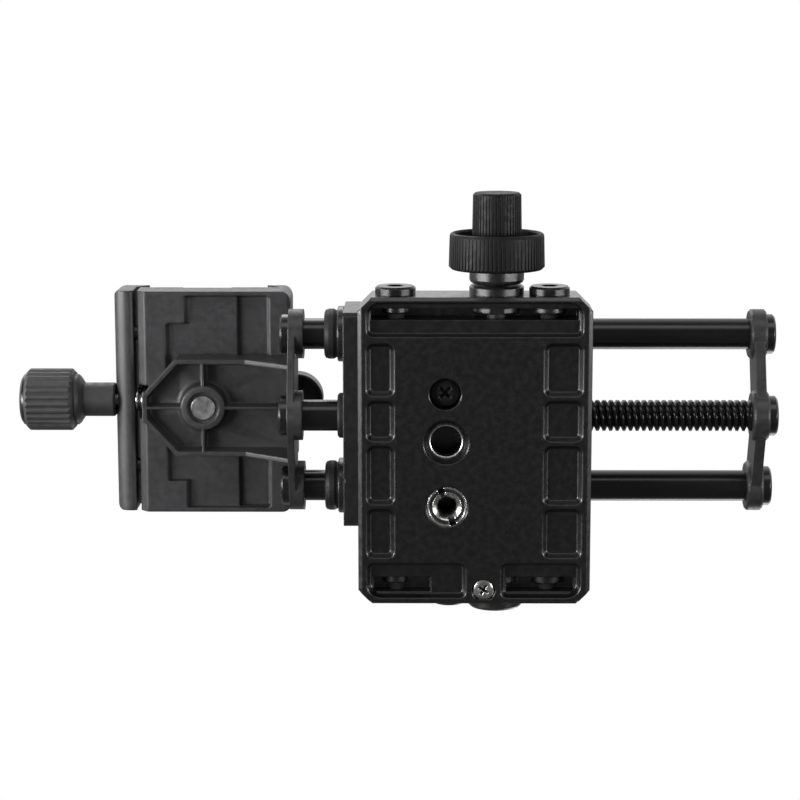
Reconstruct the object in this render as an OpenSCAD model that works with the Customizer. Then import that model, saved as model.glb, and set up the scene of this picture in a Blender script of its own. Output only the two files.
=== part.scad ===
// Macro focusing rail: a geared carriage with a tripod base runs along two guide rods
// and a toothed rack rod, and carries a quick-release screw clamp at one end.
// X runs along the rods, the knobs are on the -Y side, and Z is up.
// The origin is on the underside of the carriage, midway between the guide rods.

/* [Rods] */
// Diameter of the two guide rods and of the rack rod
rod_d = 8; // [7:0.5:8.5]
// Distance between the guide rods
rod_spread = 40; // [39:0.5:41]
// Height of the guide rods above the base face
rod_z = 23; // [22.5:0.5:25]
// Height of the rack rod above the base face
rack_z = 15; // [14.5:0.25:15.5]

/* [Rack drive] */
// Distance from one rack tooth to the next
tooth_pitch = 1.7; // [1.5:0.1:1.8]
// Number of teeth on the pinion
pinion_teeth = 12; // [11:1:13]
// Depth of the rack teeth
tooth_depth = 1.0; // [0.8:0.05:1.1]
// Slope of the tooth flanks, in degrees
flank_angle = 25; // [20:1:30]
// Play between the teeth along the rack
tooth_play = 0.2; // [0.15:0.05:0.4]

/* [Carriage] */
// Width of the base along the rods
base_w = 58.6; // [57:0.2:60]
// Distance from the guide rods' midline to the knob face
base_front = 32.3; // [32:0.1:34]
// Distance from the guide rods' midline to the rear face
base_rear = 45.9; // [45:0.1:48]
// Height of the base casting
base_h = 14.5; // [14:0.5:15]
// Length cut off each corner of the base
corner_cut = 3.5; // [2:0.5:5]
// Height of the top of the rod housing
housing_top = 31; // [30:0.5:34]
// Half the depth of the rod housing
housing_half = 27.5; // [27:0.5:28]
// Thickness of the bearing plate at the clamp end
bearing_plate_t = 3.9; // [3:0.1:4.5]

/* [Rail ends] */
// Clamp-side face of the bracket's end plate
bracket_face_x = -47.7; // [-50:0.1:-46]
// Inner face of the bosses on the free end plate
end_boss_x = 71; // [60:0.1:90]
// Diameter of the rod bosses
boss_d = 12.8; // [11:0.1:13]

/* [Screw clamp] */
// Length of the clamp jaws
jaw_len = 59.2; // [50:0.2:60]
// Width of the camera plate that the clamp holds
plate_w = 38.1; // [37.8:0.1:38.5]
// Height of the clamp's underside
clamp_z = 33.5; // [33:0.5:36]
// Height of the clamp's deck above its underside
clamp_deck_h = 9.5; // [9:0.1:11]
// Height of the jaws above the deck
jaw_h = 4.6; // [4.2:0.1:5]
// Gap between the movable jaw and the clamp body
jaw_gap = 1.2; // [1:0.1:2]
// Diameter of the clamp knob
clamp_knob_d = 16.5; // [14:0.5:18]

/* [Focus knobs] */
// Diameter of the coarse knob
coarse_d = 24.1; // [22:0.1:26]
// Diameter of the fine knob at its foot
fine_d = 12.6; // [11:0.1:14]
// Position of the knob axis along the rods
knob_x = 5.5; // [5:0.1:6]

/* [Tripod threads] */
// Wall diameter of the large tripod thread
big_thread_d = 8.2; // [8:0.1:8.4]
// Wall diameter of the small tripod thread
small_thread_d = 5.2; // [5:0.1:5.4]

/* [Hidden] */
$fn = 48;

casting = "#26262a";
dark_metal = "#3a3a3e";
knob_black = "#1d1d1f";
steel = "#a9abb0";
rubber = "#151516";
brass = "#b08d45";

cut = 0.5;        // how far a cutting tool runs past the face it cuts
play = 0.05;      // radial clearance of a running fit
seat = 0.1;       // radial clearance round a fixed screw or bush
rod_r = rod_d / 2;
rod_y = rod_spread / 2;
boss_r = boss_d / 2;

// Rack drive
rack_pitch_r = rod_r - tooth_depth / 2;
pinion_pitch_r = pinion_teeth * tooth_pitch / (2 * PI);
shaft_z = rack_z - rack_pitch_r - pinion_pitch_r;
pinion_tip_r = pinion_pitch_r + 0.42;
pinion_root_r = pinion_pitch_r - tooth_depth / 2 - 0.12;
pinion_half_w = 4;
rack_tooth_from = -4;
rack_tooth_to = 70.2;
shaft_r = 2.5;

// Carriage
base_x = base_w / 2;
housing_right = base_x - 0.7;
plate_left = -base_x - bearing_plate_t;
bearing_plate_low = 7;
guide_bush_r = 5.5;
rack_bush_r = 5.3;
bush_len = 14;
rack_bush_to = -21;
channel_r = rod_r + 0.45;
rim = 1.2;
pocket_depth = 1.7;
pocket_draft = 1.2;
slot_top = 10;
slot_from = -29.3;
slot_w = 2.9;
rear_slot_from = 39.4;
rear_slot_w = 3.6;
rear_slot_top = 6.4;
shaft_boss_r = 5.9;
insert_pos = [-7.15, 4.25];
bush_pos = [-6.9, 20.8];
base_screw_pos = [-7.4, -8];
lock_screw_pos = [2.4, 42.3];
housing_screw_at = [[-13, -10.5], [-13, 10.5], [14, -10.5], [14, 10.5]];
cross_bolt_x = [-19.9, 18.7];
cross_bolt_z = 7;
cross_boss_r = [3.3, 4.3];
cross_boss_len = 1.6;
cross_bolt_r = 2.2;
side_plug_x = -6.2;
bolt_head_r = 5.1;
bolt_head_h = 2.2;

// Seals on the guide rods, from the bearing plate towards the clamp
flange_to = plate_left - 1.8;
seal_to = plate_left - 5.2;

// Rail ends
bracket_web_t = 1.8;
bracket_boss_to = bracket_face_x + 3.9;
rod_from = bracket_face_x + bracket_web_t;
end_web_x = end_boss_x + 0.9;
end_web_t = 2.6;
end_face_x = end_boss_x + 4.3;
rod_to = end_boss_x + 2.5;
rod_bolt_r = 2.2;
rod_thread_len = 9;
rod_at = [[-rod_y, rod_z], [0, rack_z], [rod_y, rod_z]];

// Arm of the bracket
arm_half = 12.8;
arm_low = 25;
arm_rim = 1.2;
arm_floor = 28.8;
arm_draft = 0.6;
arm_boss_r = [5.3, 7];
nose_x = -86.4;
nose_half = 3.3;
shoulder_x = -77.6;
gusset_from = -59.3;
gusset_low = 16;
clamp_bolt_x = -70.5;
clamp_bolt_r = 3.1;
counterbore_r = 4.1;
counterbore_h = 0.8;

// Screw clamp
clamp_right = -47.9;
wall_foot = 3.6;
deck_z = clamp_z + clamp_deck_h;
jaw_top = deck_z + jaw_h;
lip_flat = 0.8;
lip_slope = 3.2;
channel_right = clamp_right - wall_foot;
channel_left = channel_right - plate_w;
jaw_outer = channel_left - 5.2;
jaw_low = clamp_z + 1.6;
jaw_round = [3.6, 1];
clamp_left = channel_left + jaw_gap;
screw_z = clamp_z + 5.2;
screw_r = 2.3;
spring_seat_x = clamp_left + 5;
spring_r = 3.3;
nut_r = 3.5;
nut_len = 6;
pin_r = 2;
pin_y = 18;
pin_z = clamp_z + 5.5;
pin_from = jaw_outer + 2.5;
neck_r = 4.5;
neck_to = jaw_outer - 8.4;
grip_from = neck_to - 2.5;
grip_to = grip_from - 12.9;
level_x = -46.6;
level_r = 6.9;
vial_x = -44.8;
vial_r = 4;

// Focus knobs, along Y from the knob face outwards
collar_out = -base_front - 2.3;
hub_in = collar_out - 0.4;
cup_base = -38.6;
cup_rim = -47.7;
cup_floor = -41.5;
fine_base = -42;
fine_end = -57.7;
race_r = 4;
sun_r = 0.8;
ball_r = 1.57;
ball_path_r = 2.4;
ball_y = -31.4;
carrier_r = 3.6;

// A cylinder along X from x0 to x1
module cyl_x(x0, x1, r, y = 0, z = 0) {
    translate([x0, y, z]) rotate([0, 90, 0]) cylinder(r = r, h = x1 - x0);
}

// A cylinder along Y from y0 to y1
module cyl_y(y0, y1, r, x = 0, z = 0) {
    translate([x, y0, z]) rotate([-90, 0, 0]) cylinder(r = r, h = y1 - y0);
}

// A profile of (radius, X) points turned about a line along X
module turn_x(points, y = 0, z = 0) {
    translate([0, y, z]) rotate([0, 90, 0]) rotate_extrude() polygon(points);
}

// A profile of (radius, Y) points turned about a line along Y
module turn_y(points, x = knob_x, z = shaft_z) {
    translate([x, 0, z]) rotate([-90, 0, 0]) rotate_extrude() polygon(points);
}

// A flat shape drawn in (Y, Z), extruded along X
module plate_x(x0, t) {
    translate([x0, 0, 0]) rotate([90, 0, 90]) linear_extrude(t) children();
}

// A flat shape drawn in (X, Z), extruded along Y
module plate_y(y0, t) {
    translate([0, y0 + t, 0]) rotate([90, 0, 0]) linear_extrude(t) children();
}

// A bar with round ends between two points of a plane
module bar2d(p, q, r) {
    d = q - p;
    translate(p) circle(r);
    translate(q) circle(r);
    translate(p) rotate(atan2(d[1], d[0])) translate([0, -r]) square([norm(d), 2 * r]);
}

// A rectangle with round corners
module round_rect(x0, x1, y0, y1, r) {
    translate([x0 + r, y0]) square([x1 - x0 - 2 * r, y1 - y0]);
    translate([x0, y0 + r]) square([x1 - x0, y1 - y0 - 2 * r]);
    for (x = [x0 + r, x1 - r], y = [y0 + r, y1 - r]) translate([x, y]) circle(r, $fn = 32);
}

// A rectangle with its corners cut off
module cut_rect(x0, x1, y0, y1, c) {
    polygon([
        [x0 + c, y0], [x1 - c, y0], [x1, y0 + c], [x1, y1 - c],
        [x1 - c, y1], [x0 + c, y1], [x0, y1 - c], [x0, y0 + c]
    ]);
}

// A pocket cut upwards from the base face, with sloping walls all round
module drafted(x0, x1, y0, y1, depth, draft) {
    low = -cut;
    slope = draft / depth * cut;
    intersection() {
        translate([0, 0, low]) linear_extrude(depth - low) children();
        plate_y(y0 - 1, y1 - y0 + 2) polygon([
            [x0 - slope, low], [x1 + slope, low], [x1 - draft, depth], [x0 + draft, depth]
        ]);
        plate_x(x0 - 1, x1 - x0 + 2) polygon([
            [y0 - slope, low], [y1 + slope, low], [y1 - draft, depth], [y0 + draft, depth]
        ]);
    }
}

// A ribbed grip outline: n flat-topped ribs round a circle
module ribs2d(r, depth, n) {
    polygon([
        for (i = [0:n - 1], step = [[0, 0], [0.45, 0], [0.6, 1], [0.85, 1]])
            let (a = (i + step[0]) * 360 / n, rr = r - step[1] * depth)
                [rr * cos(a), rr * sin(a)]
    ]);
}

// A fluted grip outline: n round ridges on a core circle
module flutes2d(r, depth, n) {
    ridge_r = 0.9 * PI * r / n;
    circle(r - depth, $fn = 96);
    for (i = [0:n - 1]) rotate(i * 360 / n) translate([r - ridge_r, 0]) circle(ridge_r, $fn = 24);
}

// A low socket-head bolt along X, its head's seat at x and its shank towards dir
module rod_bolt(x, y, z, dir, len) {
    translate([x, y, z]) rotate([0, dir * 90, 0]) low_bolt(rod_bolt_r, len);
}

// A low socket-head bolt along Z: head below zero, shank above
module low_bolt(r, len) {
    difference() {
        union() {
            rotate_extrude() polygon([
                [0, -bolt_head_h], [bolt_head_r - 0.5, -bolt_head_h],
                [bolt_head_r, -bolt_head_h + 0.5], [bolt_head_r, 0], [0, 0]
            ]);
            cylinder(r = r, h = len);
        }
        translate([0, 0, -bolt_head_h - cut]) cylinder(r = 2.3, h = 1.5 + cut, $fn = 6);
    }
}

// A cross-head screw pointing up, its head's outer face at z = 0
module cross_screw(head_r, head_h, shank_r, len) {
    difference() {
        union() {
            rotate_extrude() polygon([
                [0, 0], [head_r - 0.5, 0], [head_r, 0.4], [head_r, head_h], [0, head_h]
            ]);
            cylinder(r = shank_r, h = len);
        }
        for (a = [0, 90]) rotate(a) translate([-head_r * 0.55, -head_r * 0.12, -cut])
            cube([head_r * 1.1, head_r * 0.24, cut + head_h * 0.6]);
    }
}

// ---- Carriage ----

module base_outline() {
    cut_rect(-base_x, base_x, -base_front, base_rear, corner_cut);
}

// The base block, with its lower edge bevelled
module base_block() {
    bevel = 0.9;
    intersection() {
        linear_extrude(base_h) base_outline();
        plate_y(-base_front, base_front + base_rear) polygon([
            [-base_x + bevel, 0], [base_x - bevel, 0], [base_x, bevel], [base_x, base_h],
            [-base_x, base_h], [-base_x, bevel]
        ]);
        plate_x(-base_x, base_w) polygon([
            [-base_front + bevel, 0], [base_rear - bevel, 0], [base_rear, bevel],
            [base_rear, base_h], [-base_front, base_h], [-base_front, bevel]
        ]);
    }
}

// The round spaces for the rods, shared by both castings
module rod_channels() {
    cyl_x(-base_x - cut, base_x + cut, channel_r, 0, rack_z);
    cyl_x(-base_x - cut, rack_bush_to, rack_bush_r, 0, rack_z);
    for (y = [-rod_y, rod_y]) cyl_x(-base_x - cut, base_x + cut, guide_bush_r, y, rod_z);
}

module column_pockets() {
    for (row = [[-20.8, -7.4], [-6.4, 4.1], [5.1, 20.3], [21.3, 34.1]])
        for (col = [[-28, -20.1], [17.2, 27.9]])
            drafted(col[0], col[1], row[0], row[1], pocket_depth, pocket_draft)
                round_rect(col[0], col[1], row[0], row[1], 1.4);
}

// The long pocket along the knob side, with a deep slot that the shafts cross
module front_pocket() {
    y0 = -base_front + rim;
    y1 = -22.4;
    x1 = base_x - rim;
    drafted(-x1, x1, y0, y1, 2.6, 0.8) polygon([
        [-x1, y1], [-x1, y0 + 3], [-x1 + 3, y0], [x1 - 3, y0], [x1, y0 + 3], [x1, y1]
    ]);
    boss_to = slot_from + cross_boss_len;
    difference() {
        translate([-26.5, slot_from, 0]) cube([53, slot_w, slot_top]);
        for (i = [0, 1]) cyl_y(y0 - 1, boss_to, cross_boss_r[i], cross_bolt_x[i], cross_bolt_z);
        cyl_y(y0 - 1, boss_to, shaft_boss_r, knob_x, shaft_z);
    }
}

// Two pockets along the rear edge, each with a slot over a cross bolt
module rear_pockets() {
    y0 = 35.6;
    y1 = base_rear - rim - 0.5;
    boss_to = rear_slot_from + 1.3 * cross_boss_len;
    for (span = [[-28.1, -2, -26, -12], [6.8, 28.1, 8.4, 26]]) {
        drafted(span[0], span[1], y0, y1, 2.4, 0.8) cut_rect(span[0], span[1], y0, y1, 2);
        difference() {
            translate([span[2], rear_slot_from, 0])
                cube([span[3] - span[2], rear_slot_w, rear_slot_top]);
            for (i = [0, 1]) cyl_y(y0, boss_to, cross_boss_r[i], cross_bolt_x[i], cross_bolt_z);
            cyl_y(y0, base_rear, shaft_boss_r, knob_x, shaft_z);
        }
    }
}

module carriage_base() {
    color(casting) difference() {
        base_block();
        rod_channels();
        column_pockets();
        front_pocket();
        rear_pockets();
        // pinion shaft, its bushes, the knob collar and the rear cap
        cyl_y(-28.5, 42, shaft_r + 0.4, knob_x, shaft_z);
        cyl_y(-pinion_half_w - 1, pinion_half_w + 1, pinion_tip_r + 0.5, knob_x, shaft_z);
        cyl_y(-base_front - cut, -27.7, 5, knob_x, shaft_z);
        for (y = [-26, 35]) cyl_y(y, y + 6, 4, knob_x, shaft_z);
        cyl_y(41, base_rear + cut, 4.4, knob_x, shaft_z);
        cyl_y(37.5, base_rear + cut, 3.5 + seat, side_plug_x, shaft_z);
        // cross bolts
        for (x = cross_bolt_x) cyl_y(-base_front - cut, 45, cross_bolt_r + seat, x, cross_bolt_z);
        // tripod threads
        translate([insert_pos[0], insert_pos[1], -cut]) cylinder(r = 4.7 + play, h = 9.6 + cut);
        translate([insert_pos[0], insert_pos[1], -cut])
            cylinder(r1 = 5.75 + cut * 0.65, r2 = 4.7, h = 1.6 + cut);
        translate([bush_pos[0], bush_pos[1], -cut]) cylinder(r = 4.8 + play, h = 10 + cut);
        translate([bush_pos[0], bush_pos[1], -cut])
            cylinder(r1 = 5.3 + cut, r2 = 4.8, h = 0.5 + cut);
        // screws
        translate([base_screw_pos[0], base_screw_pos[1], -cut]) {
            cylinder(r = 4, h = 4.6 + cut);
            cylinder(r = 2.1, h = base_h + 2 * cut);
        }
        translate([lock_screw_pos[0], lock_screw_pos[1], -cut]) {
            cylinder(r = 2.9, h = 1.6 + cut);
            cylinder(r = 1.4, h = 3.4 + cut);
        }
        for (p = housing_screw_at) translate([p[0], p[1], 5]) cylinder(r = 2.1, h = base_h);
    }
}

module rod_housing() {
    bevel = 1.6;
    h = housing_half;
    color(casting) difference() {
        intersection() {
            plate_x(-base_x, housing_right + base_x) polygon([
                [-h, base_h], [h, base_h], [h, housing_top - bevel],
                [h - bevel, housing_top], [-h + bevel, housing_top], [-h, housing_top - bevel]
            ]);
            plate_y(-h, 2 * h) polygon([
                [-base_x, base_h], [housing_right, base_h], [housing_right, housing_top - bevel],
                [housing_right - bevel, housing_top], [-base_x, housing_top]
            ]);
        }
        rod_channels();
        translate([base_screw_pos[0], base_screw_pos[1], base_h - cut]) cylinder(r = 2.1, h = 9 + cut);
        for (p = housing_screw_at) translate([p[0], p[1], base_h - cut]) {
            cylinder(r = 2.1, h = housing_top);
            translate([0, 0, 12 + cut]) cylinder(r = 3.7, h = housing_top);
        }
        // shallow relief in the top face
        translate([0, 0, housing_top - 0.8]) linear_extrude(1 + cut)
            round_rect(-22, 22, -6, 6, 2);
    }
}

module bearing_plate() {
    color(casting) difference() {
        plate_x(plate_left, bearing_plate_t)
            cut_rect(-housing_half, housing_half, bearing_plate_low, housing_top, 1);
        for (p = rod_at) cyl_x(plate_left - cut, -base_x + cut, channel_r, p[0], p[1]);
        // seam across the clamp-side face
        translate([plate_left - cut, 15, bearing_plate_low - cut])
            cube([0.4 + cut, 0.8, housing_top]);
    }
}

module guide_bushes() {
    color(brass) for (y = [-rod_y, rod_y])
        for (x = [-base_x, housing_right - bush_len]) difference() {
            cyl_x(x, x + bush_len, guide_bush_r, y, rod_z);
            cyl_x(x - cut, x + bush_len + cut, rod_r + play, y, rod_z);
        }
}

module rack_bush() {
    color(brass) difference() {
        cyl_x(-base_x, rack_bush_to, rack_bush_r, 0, rack_z);
        cyl_x(-base_x - cut, rack_bush_to + cut, rod_r + play, 0, rack_z);
    }
}

module wiper_seals() {
    bore = rod_r + play;
    color(rubber) for (y = [-rod_y, rod_y]) turn_x([
        [bore, flange_to], [bore, seal_to], [5.6, seal_to], [6.2, seal_to + 0.3],
        [6.5, seal_to + 1.2], [6.5, seal_to + 2.4], [6.1, flange_to - 0.3], [6.1, flange_to]
    ], y, rod_z);
}

module seal_flanges() {
    bore = rod_r + 0.4;
    color(dark_metal) for (y = [-rod_y, rod_y]) turn_x([
        [bore, plate_left], [bore, flange_to], [6.9, flange_to], [7.2, flange_to + 0.3],
        [7.2, plate_left - 0.3], [7, plate_left]
    ], y, rod_z);
}

module rack_seal() {
    bore = rod_r + play;
    color(rubber) turn_x([
        [bore, plate_left], [bore, plate_left - 1.6], [5.3, plate_left - 1.6],
        [5.8, plate_left - 1.1], [5.8, plate_left]
    ], 0, rack_z);
}

module thread_insert() {
    translate([insert_pos[0], insert_pos[1], 1.6]) color(steel) difference() {
        cylinder(r = 4.7, h = 8);
        translate([0, 0, -cut]) cylinder(d = big_thread_d, h = 8 + 2 * cut);
    }
}

module reducer_bush() {
    translate([bush_pos[0], bush_pos[1], 0.1]) color(steel) difference() {
        rotate_extrude() polygon([
            [small_thread_d / 2, 0.9], [3.5, 0], [4.3, 0], [4.8, 0.5], [4.8, 9.4],
            [small_thread_d / 2, 9.4]
        ]);
        rotate(20) translate([-0.65, -5, -cut]) cube([1.3, 10, 1.5 + cut]);
    }
}

module base_screw() {
    translate([base_screw_pos[0], base_screw_pos[1], 2.2]) rotate(45) color(knob_black)
        cross_screw(3.7, 2.4, 2, 18);
}

module lock_screw() {
    translate([lock_screw_pos[0], lock_screw_pos[1], 0.1]) color(steel)
        cross_screw(2.75, 1.5, 1.3, 3.2);
}

module housing_screws() {
    color(dark_metal) for (p = housing_screw_at) translate([p[0], p[1], 0]) difference() {
        union() {
            translate([0, 0, 6]) cylinder(r = 2, h = base_h + 12 - 6);
            translate([0, 0, base_h + 12]) cylinder(r = 3.5, h = 4);
        }
        translate([0, 0, base_h + 14]) cylinder(r = 1.7, h = 4, $fn = 6);
    }
}

module cross_bolts() {
    color(knob_black) for (x = cross_bolt_x) translate([x, -base_front, cross_bolt_z])
        rotate([-90, 0, 0]) low_bolt(cross_bolt_r, base_front + 44);
}

// Fixed collar on the knob face; its bore is the outer race of the fine drive
module knob_collar() {
    color(dark_metal) turn_y([
        [race_r, collar_out], [6.4, collar_out], [6.87, collar_out + 0.5],
        [6.87, -base_front], [5, -base_front], [5, -27.7], [3.7, -27.7], [3.7, -28.2],
        [race_r, -28.2]
    ]);
}

module shaft_bushes() {
    color(brass) for (y = [-26, 35]) difference() {
        cyl_y(y, y + 6, 4, knob_x, shaft_z);
        cyl_y(y - cut, y + 6 + cut, shaft_r + play, knob_x, shaft_z);
    }
}

// Bearing cap behind the pinion shaft, with a hexagon socket
module rear_cap() {
    color(knob_black) difference() {
        turn_y([
            [0, 43.6], [4.3, 43.6], [4.3, base_rear], [6.9, base_rear],
            [6.9, base_rear + 1.7], [6.3, base_rear + 2.3], [0, base_rear + 2.3]
        ]);
        translate([knob_x, base_rear + 1.2, shaft_z]) rotate([-90, 0, 0])
            cylinder(r = 2.9, h = 2, $fn = 6);
    }
}

module side_plug() {
    color(knob_black) difference() {
        turn_y([
            [0, 38], [3.5, 38], [3.5, base_rear], [4.4, base_rear],
            [4.4, base_rear + 1.1], [4, base_rear + 1.5], [0, base_rear + 1.5]
        ], side_plug_x, shaft_z);
        translate([side_plug_x - 3, base_rear + 0.8, shaft_z - 0.5]) cube([6, 2, 1]);
    }
}

// ---- Rods and rail ends ----

module guide_rod(y) {
    color(dark_metal) difference() {
        cyl_x(rod_from, rod_to, rod_r, y, rod_z);
        cyl_x(rod_from - cut, rod_from + rod_thread_len, rod_bolt_r + seat, y, rod_z);
        cyl_x(rod_to - rod_thread_len, rod_to + cut, rod_bolt_r + seat, y, rod_z);
    }
}

module guide_rod_front() {
    guide_rod(-rod_y);
}

module guide_rod_rear() {
    guide_rod(rod_y);
}

// Round rack: ring-shaped teeth with straight flanks, one gap facing the pinion's top tooth
module rack_rod() {
    root_r = rod_r - tooth_depth;
    first_gap = ceil((rack_tooth_from - knob_x) / tooth_pitch);
    last_gap = floor((rack_tooth_to - knob_x) / tooth_pitch);
    gap_half = tooth_pitch / 4 + tooth_play / 4;
    slope = tooth_depth / 2 * tan(flank_angle);
    profile = concat(
        [[0, rod_from], [rod_r, rod_from]],
        [for (i = [first_gap:last_gap],
              p = [[rod_r, -gap_half - slope], [root_r, -gap_half + slope],
                   [root_r, gap_half - slope], [rod_r, gap_half + slope]])
            [p[0], knob_x + i * tooth_pitch + p[1]]],
        [[rod_r, rod_to], [0, rod_to]]
    );
    color(dark_metal) difference() {
        turn_x(profile, 0, rack_z);
        cyl_x(rod_from - cut, rod_from + rod_thread_len, rod_bolt_r + seat, 0, rack_z);
        cyl_x(rod_to - rod_thread_len, rod_to + cut, rod_bolt_r + seat, 0, rack_z);
    }
}

// Sockets and bolt holes for the three rods in an end casting
module rod_seats(x0, x1, hole_x0, hole_x1) {
    for (p = rod_at) {
        cyl_x(x0, x1, rod_r, p[0], p[1]);
        cyl_x(hole_x0, hole_x1, rod_bolt_r + seat, p[0], p[1]);
    }
}

// A profile whose half width goes from w0 at the arm's underside to w1 at its pocket floor
module arm_draft2d(w0, w1) {
    over = (w1 - w0) / (arm_floor - arm_low) * cut;
    polygon([
        [-w0 + over, arm_low - cut], [w0 - over, arm_low - cut],
        [w1 + over, arm_floor + cut], [-w1 - over, arm_floor + cut]
    ]);
}

// One sloping wall of the arm's hollow: keeps what lies on its inner side
module arm_wall(point, angle) {
    over = arm_draft / (arm_floor - arm_low) * cut;
    translate(point) rotate(angle) plate_y(-50, 100) polygon([
        [arm_rim - over, arm_low - cut], [60, arm_low - cut], [60, arm_floor],
        [arm_rim + arm_draft, arm_floor]
    ]);
}

// Underside pockets of the arm, between its rims, ribs and bolt boss
module arm_pockets() {
    rib = [0.3, 0.7];
    slant = atan2(arm_half - nose_half, shoulder_x - nose_x) - 90;
    difference() {
        intersection() {
            arm_wall([nose_x, 0], 0);
            arm_wall([shoulder_x, arm_half], slant);
            arm_wall([shoulder_x, -arm_half], -slant);
            arm_wall([shoulder_x, arm_half], -90);
            arm_wall([shoulder_x, -arm_half], 90);
            translate([nose_x, -arm_half, arm_low - cut])
                cube([bracket_face_x - 0.5 - nose_x, 2 * arm_half, 10]);
        }
        plate_x(nose_x - cut, bracket_face_x - nose_x) arm_draft2d(rib[0], rib[1]);
        translate([clamp_bolt_x, 0, 0]) rotate(90) plate_x(-arm_half, 2 * arm_half)
            arm_draft2d(rib[0], rib[1]);
        translate([clamp_bolt_x, 0, 0]) intersection_for(a = [0:45:135])
            rotate(a) plate_x(-10, 20) arm_draft2d(arm_boss_r[0], arm_boss_r[1]);
    }
}

module clamp_bracket() {
    color(dark_metal) difference() {
        union() {
            plate_x(bracket_face_x, bracket_web_t) {
                bar2d(rod_at[0], rod_at[1], boss_r - 0.3);
                bar2d(rod_at[1], rod_at[2], boss_r - 0.3);
                translate([-rod_y, rod_z]) square([rod_spread, boss_r - 0.3]);
                translate([-arm_half, rack_z]) square([2 * arm_half, clamp_z - rack_z]);
            }
            for (p = rod_at) cyl_x(bracket_face_x, bracket_boss_to, boss_r, p[0], p[1]);
            difference() {
                translate([0, 0, arm_low]) linear_extrude(clamp_z - arm_low) polygon([
                    [nose_x, -nose_half], [shoulder_x, -arm_half], [bracket_face_x, -arm_half],
                    [bracket_face_x, arm_half], [shoulder_x, arm_half], [nose_x, nose_half]
                ]);
                arm_pockets();
            }
            for (y = [-arm_half, arm_half - arm_rim]) plate_y(y, arm_rim) polygon([
                [gusset_from, arm_low], [bracket_face_x, gusset_low], [bracket_face_x, arm_low]
            ]);
        }
        rod_seats(rod_from, bracket_boss_to + cut, bracket_face_x - cut, rod_from + cut);
        translate([clamp_bolt_x, 0, arm_low - cut]) {
            cylinder(r = clamp_bolt_r + seat, h = 10);
            cylinder(r = counterbore_r, h = counterbore_h + cut);
        }
    }
}

module end_plate() {
    web_r = boss_r - 1;
    color(dark_metal) difference() {
        union() {
            plate_x(end_web_x, end_web_t) {
                bar2d(rod_at[0], rod_at[1], web_r);
                bar2d(rod_at[1], rod_at[2], web_r);
            }
            for (p = rod_at) turn_x([
                [0, end_boss_x], [boss_r - 0.5, end_boss_x], [boss_r, end_boss_x + 0.5],
                [boss_r, end_face_x - 0.5], [boss_r - 0.5, end_face_x], [0, end_face_x]
            ], p[0], p[1]);
        }
        rod_seats(end_boss_x - cut, rod_to, rod_to - cut, end_face_x + cut);
    }
}

module bracket_rod_bolts() {
    color(knob_black) for (p = rod_at)
        rod_bolt(bracket_face_x, p[0], p[1], 1, bracket_web_t + rod_thread_len - 1);
}

module end_rod_bolts() {
    color(knob_black) for (p = rod_at)
        rod_bolt(end_face_x, p[0], p[1], -1, end_face_x - rod_to + rod_thread_len - 1);
}

// ---- Screw clamp ----

// Keeps the outer corners of the clamp round, seen from above
module clamp_plan(x0, x1, r) {
    translate([0, 0, clamp_z - 1]) linear_extrude(20)
        round_rect(x0, x1, -jaw_len / 2, jaw_len / 2, r);
}

// One pocket in the clamp's underside: its jaw-side wall slopes more than the others
module clamp_pocket(x0, x1, y1, depth) {
    y0 = 8;
    run = 1.3;
    wall = 0.15 * depth;
    over = 0.2;
    low = -cut / depth;
    intersection() {
        translate([0, 0, -cut]) linear_extrude(depth + cut)
            round_rect(x0 - over, x1 + over, y0, y1 + over, 1.8);
        plate_y(y0 - 1, y1 - y0 + 2) polygon([
            [x0 + run * low, -cut], [x0 + run, depth], [x1 - wall, depth], [x1 - wall * low, -cut]
        ]);
        plate_x(x0 - 1, x1 - x0 + 2) polygon([
            [y0 - 1, -cut], [y1 - wall * low, -cut], [y1 - wall, depth], [y0 - 1, depth]
        ]);
    }
}

// Stepped recess on one side of the arm: a shallow part by the jaw, a deeper one beside it
module clamp_recess() {
    translate([0, 0, clamp_z]) {
        clamp_pocket(-81, -59, 21.2, 1.5);
        clamp_pocket(-76, -59, 28.5, 1.5);
        clamp_pocket(-62.7, -53.5, 28.5, 2.8);
    }
}

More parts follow.
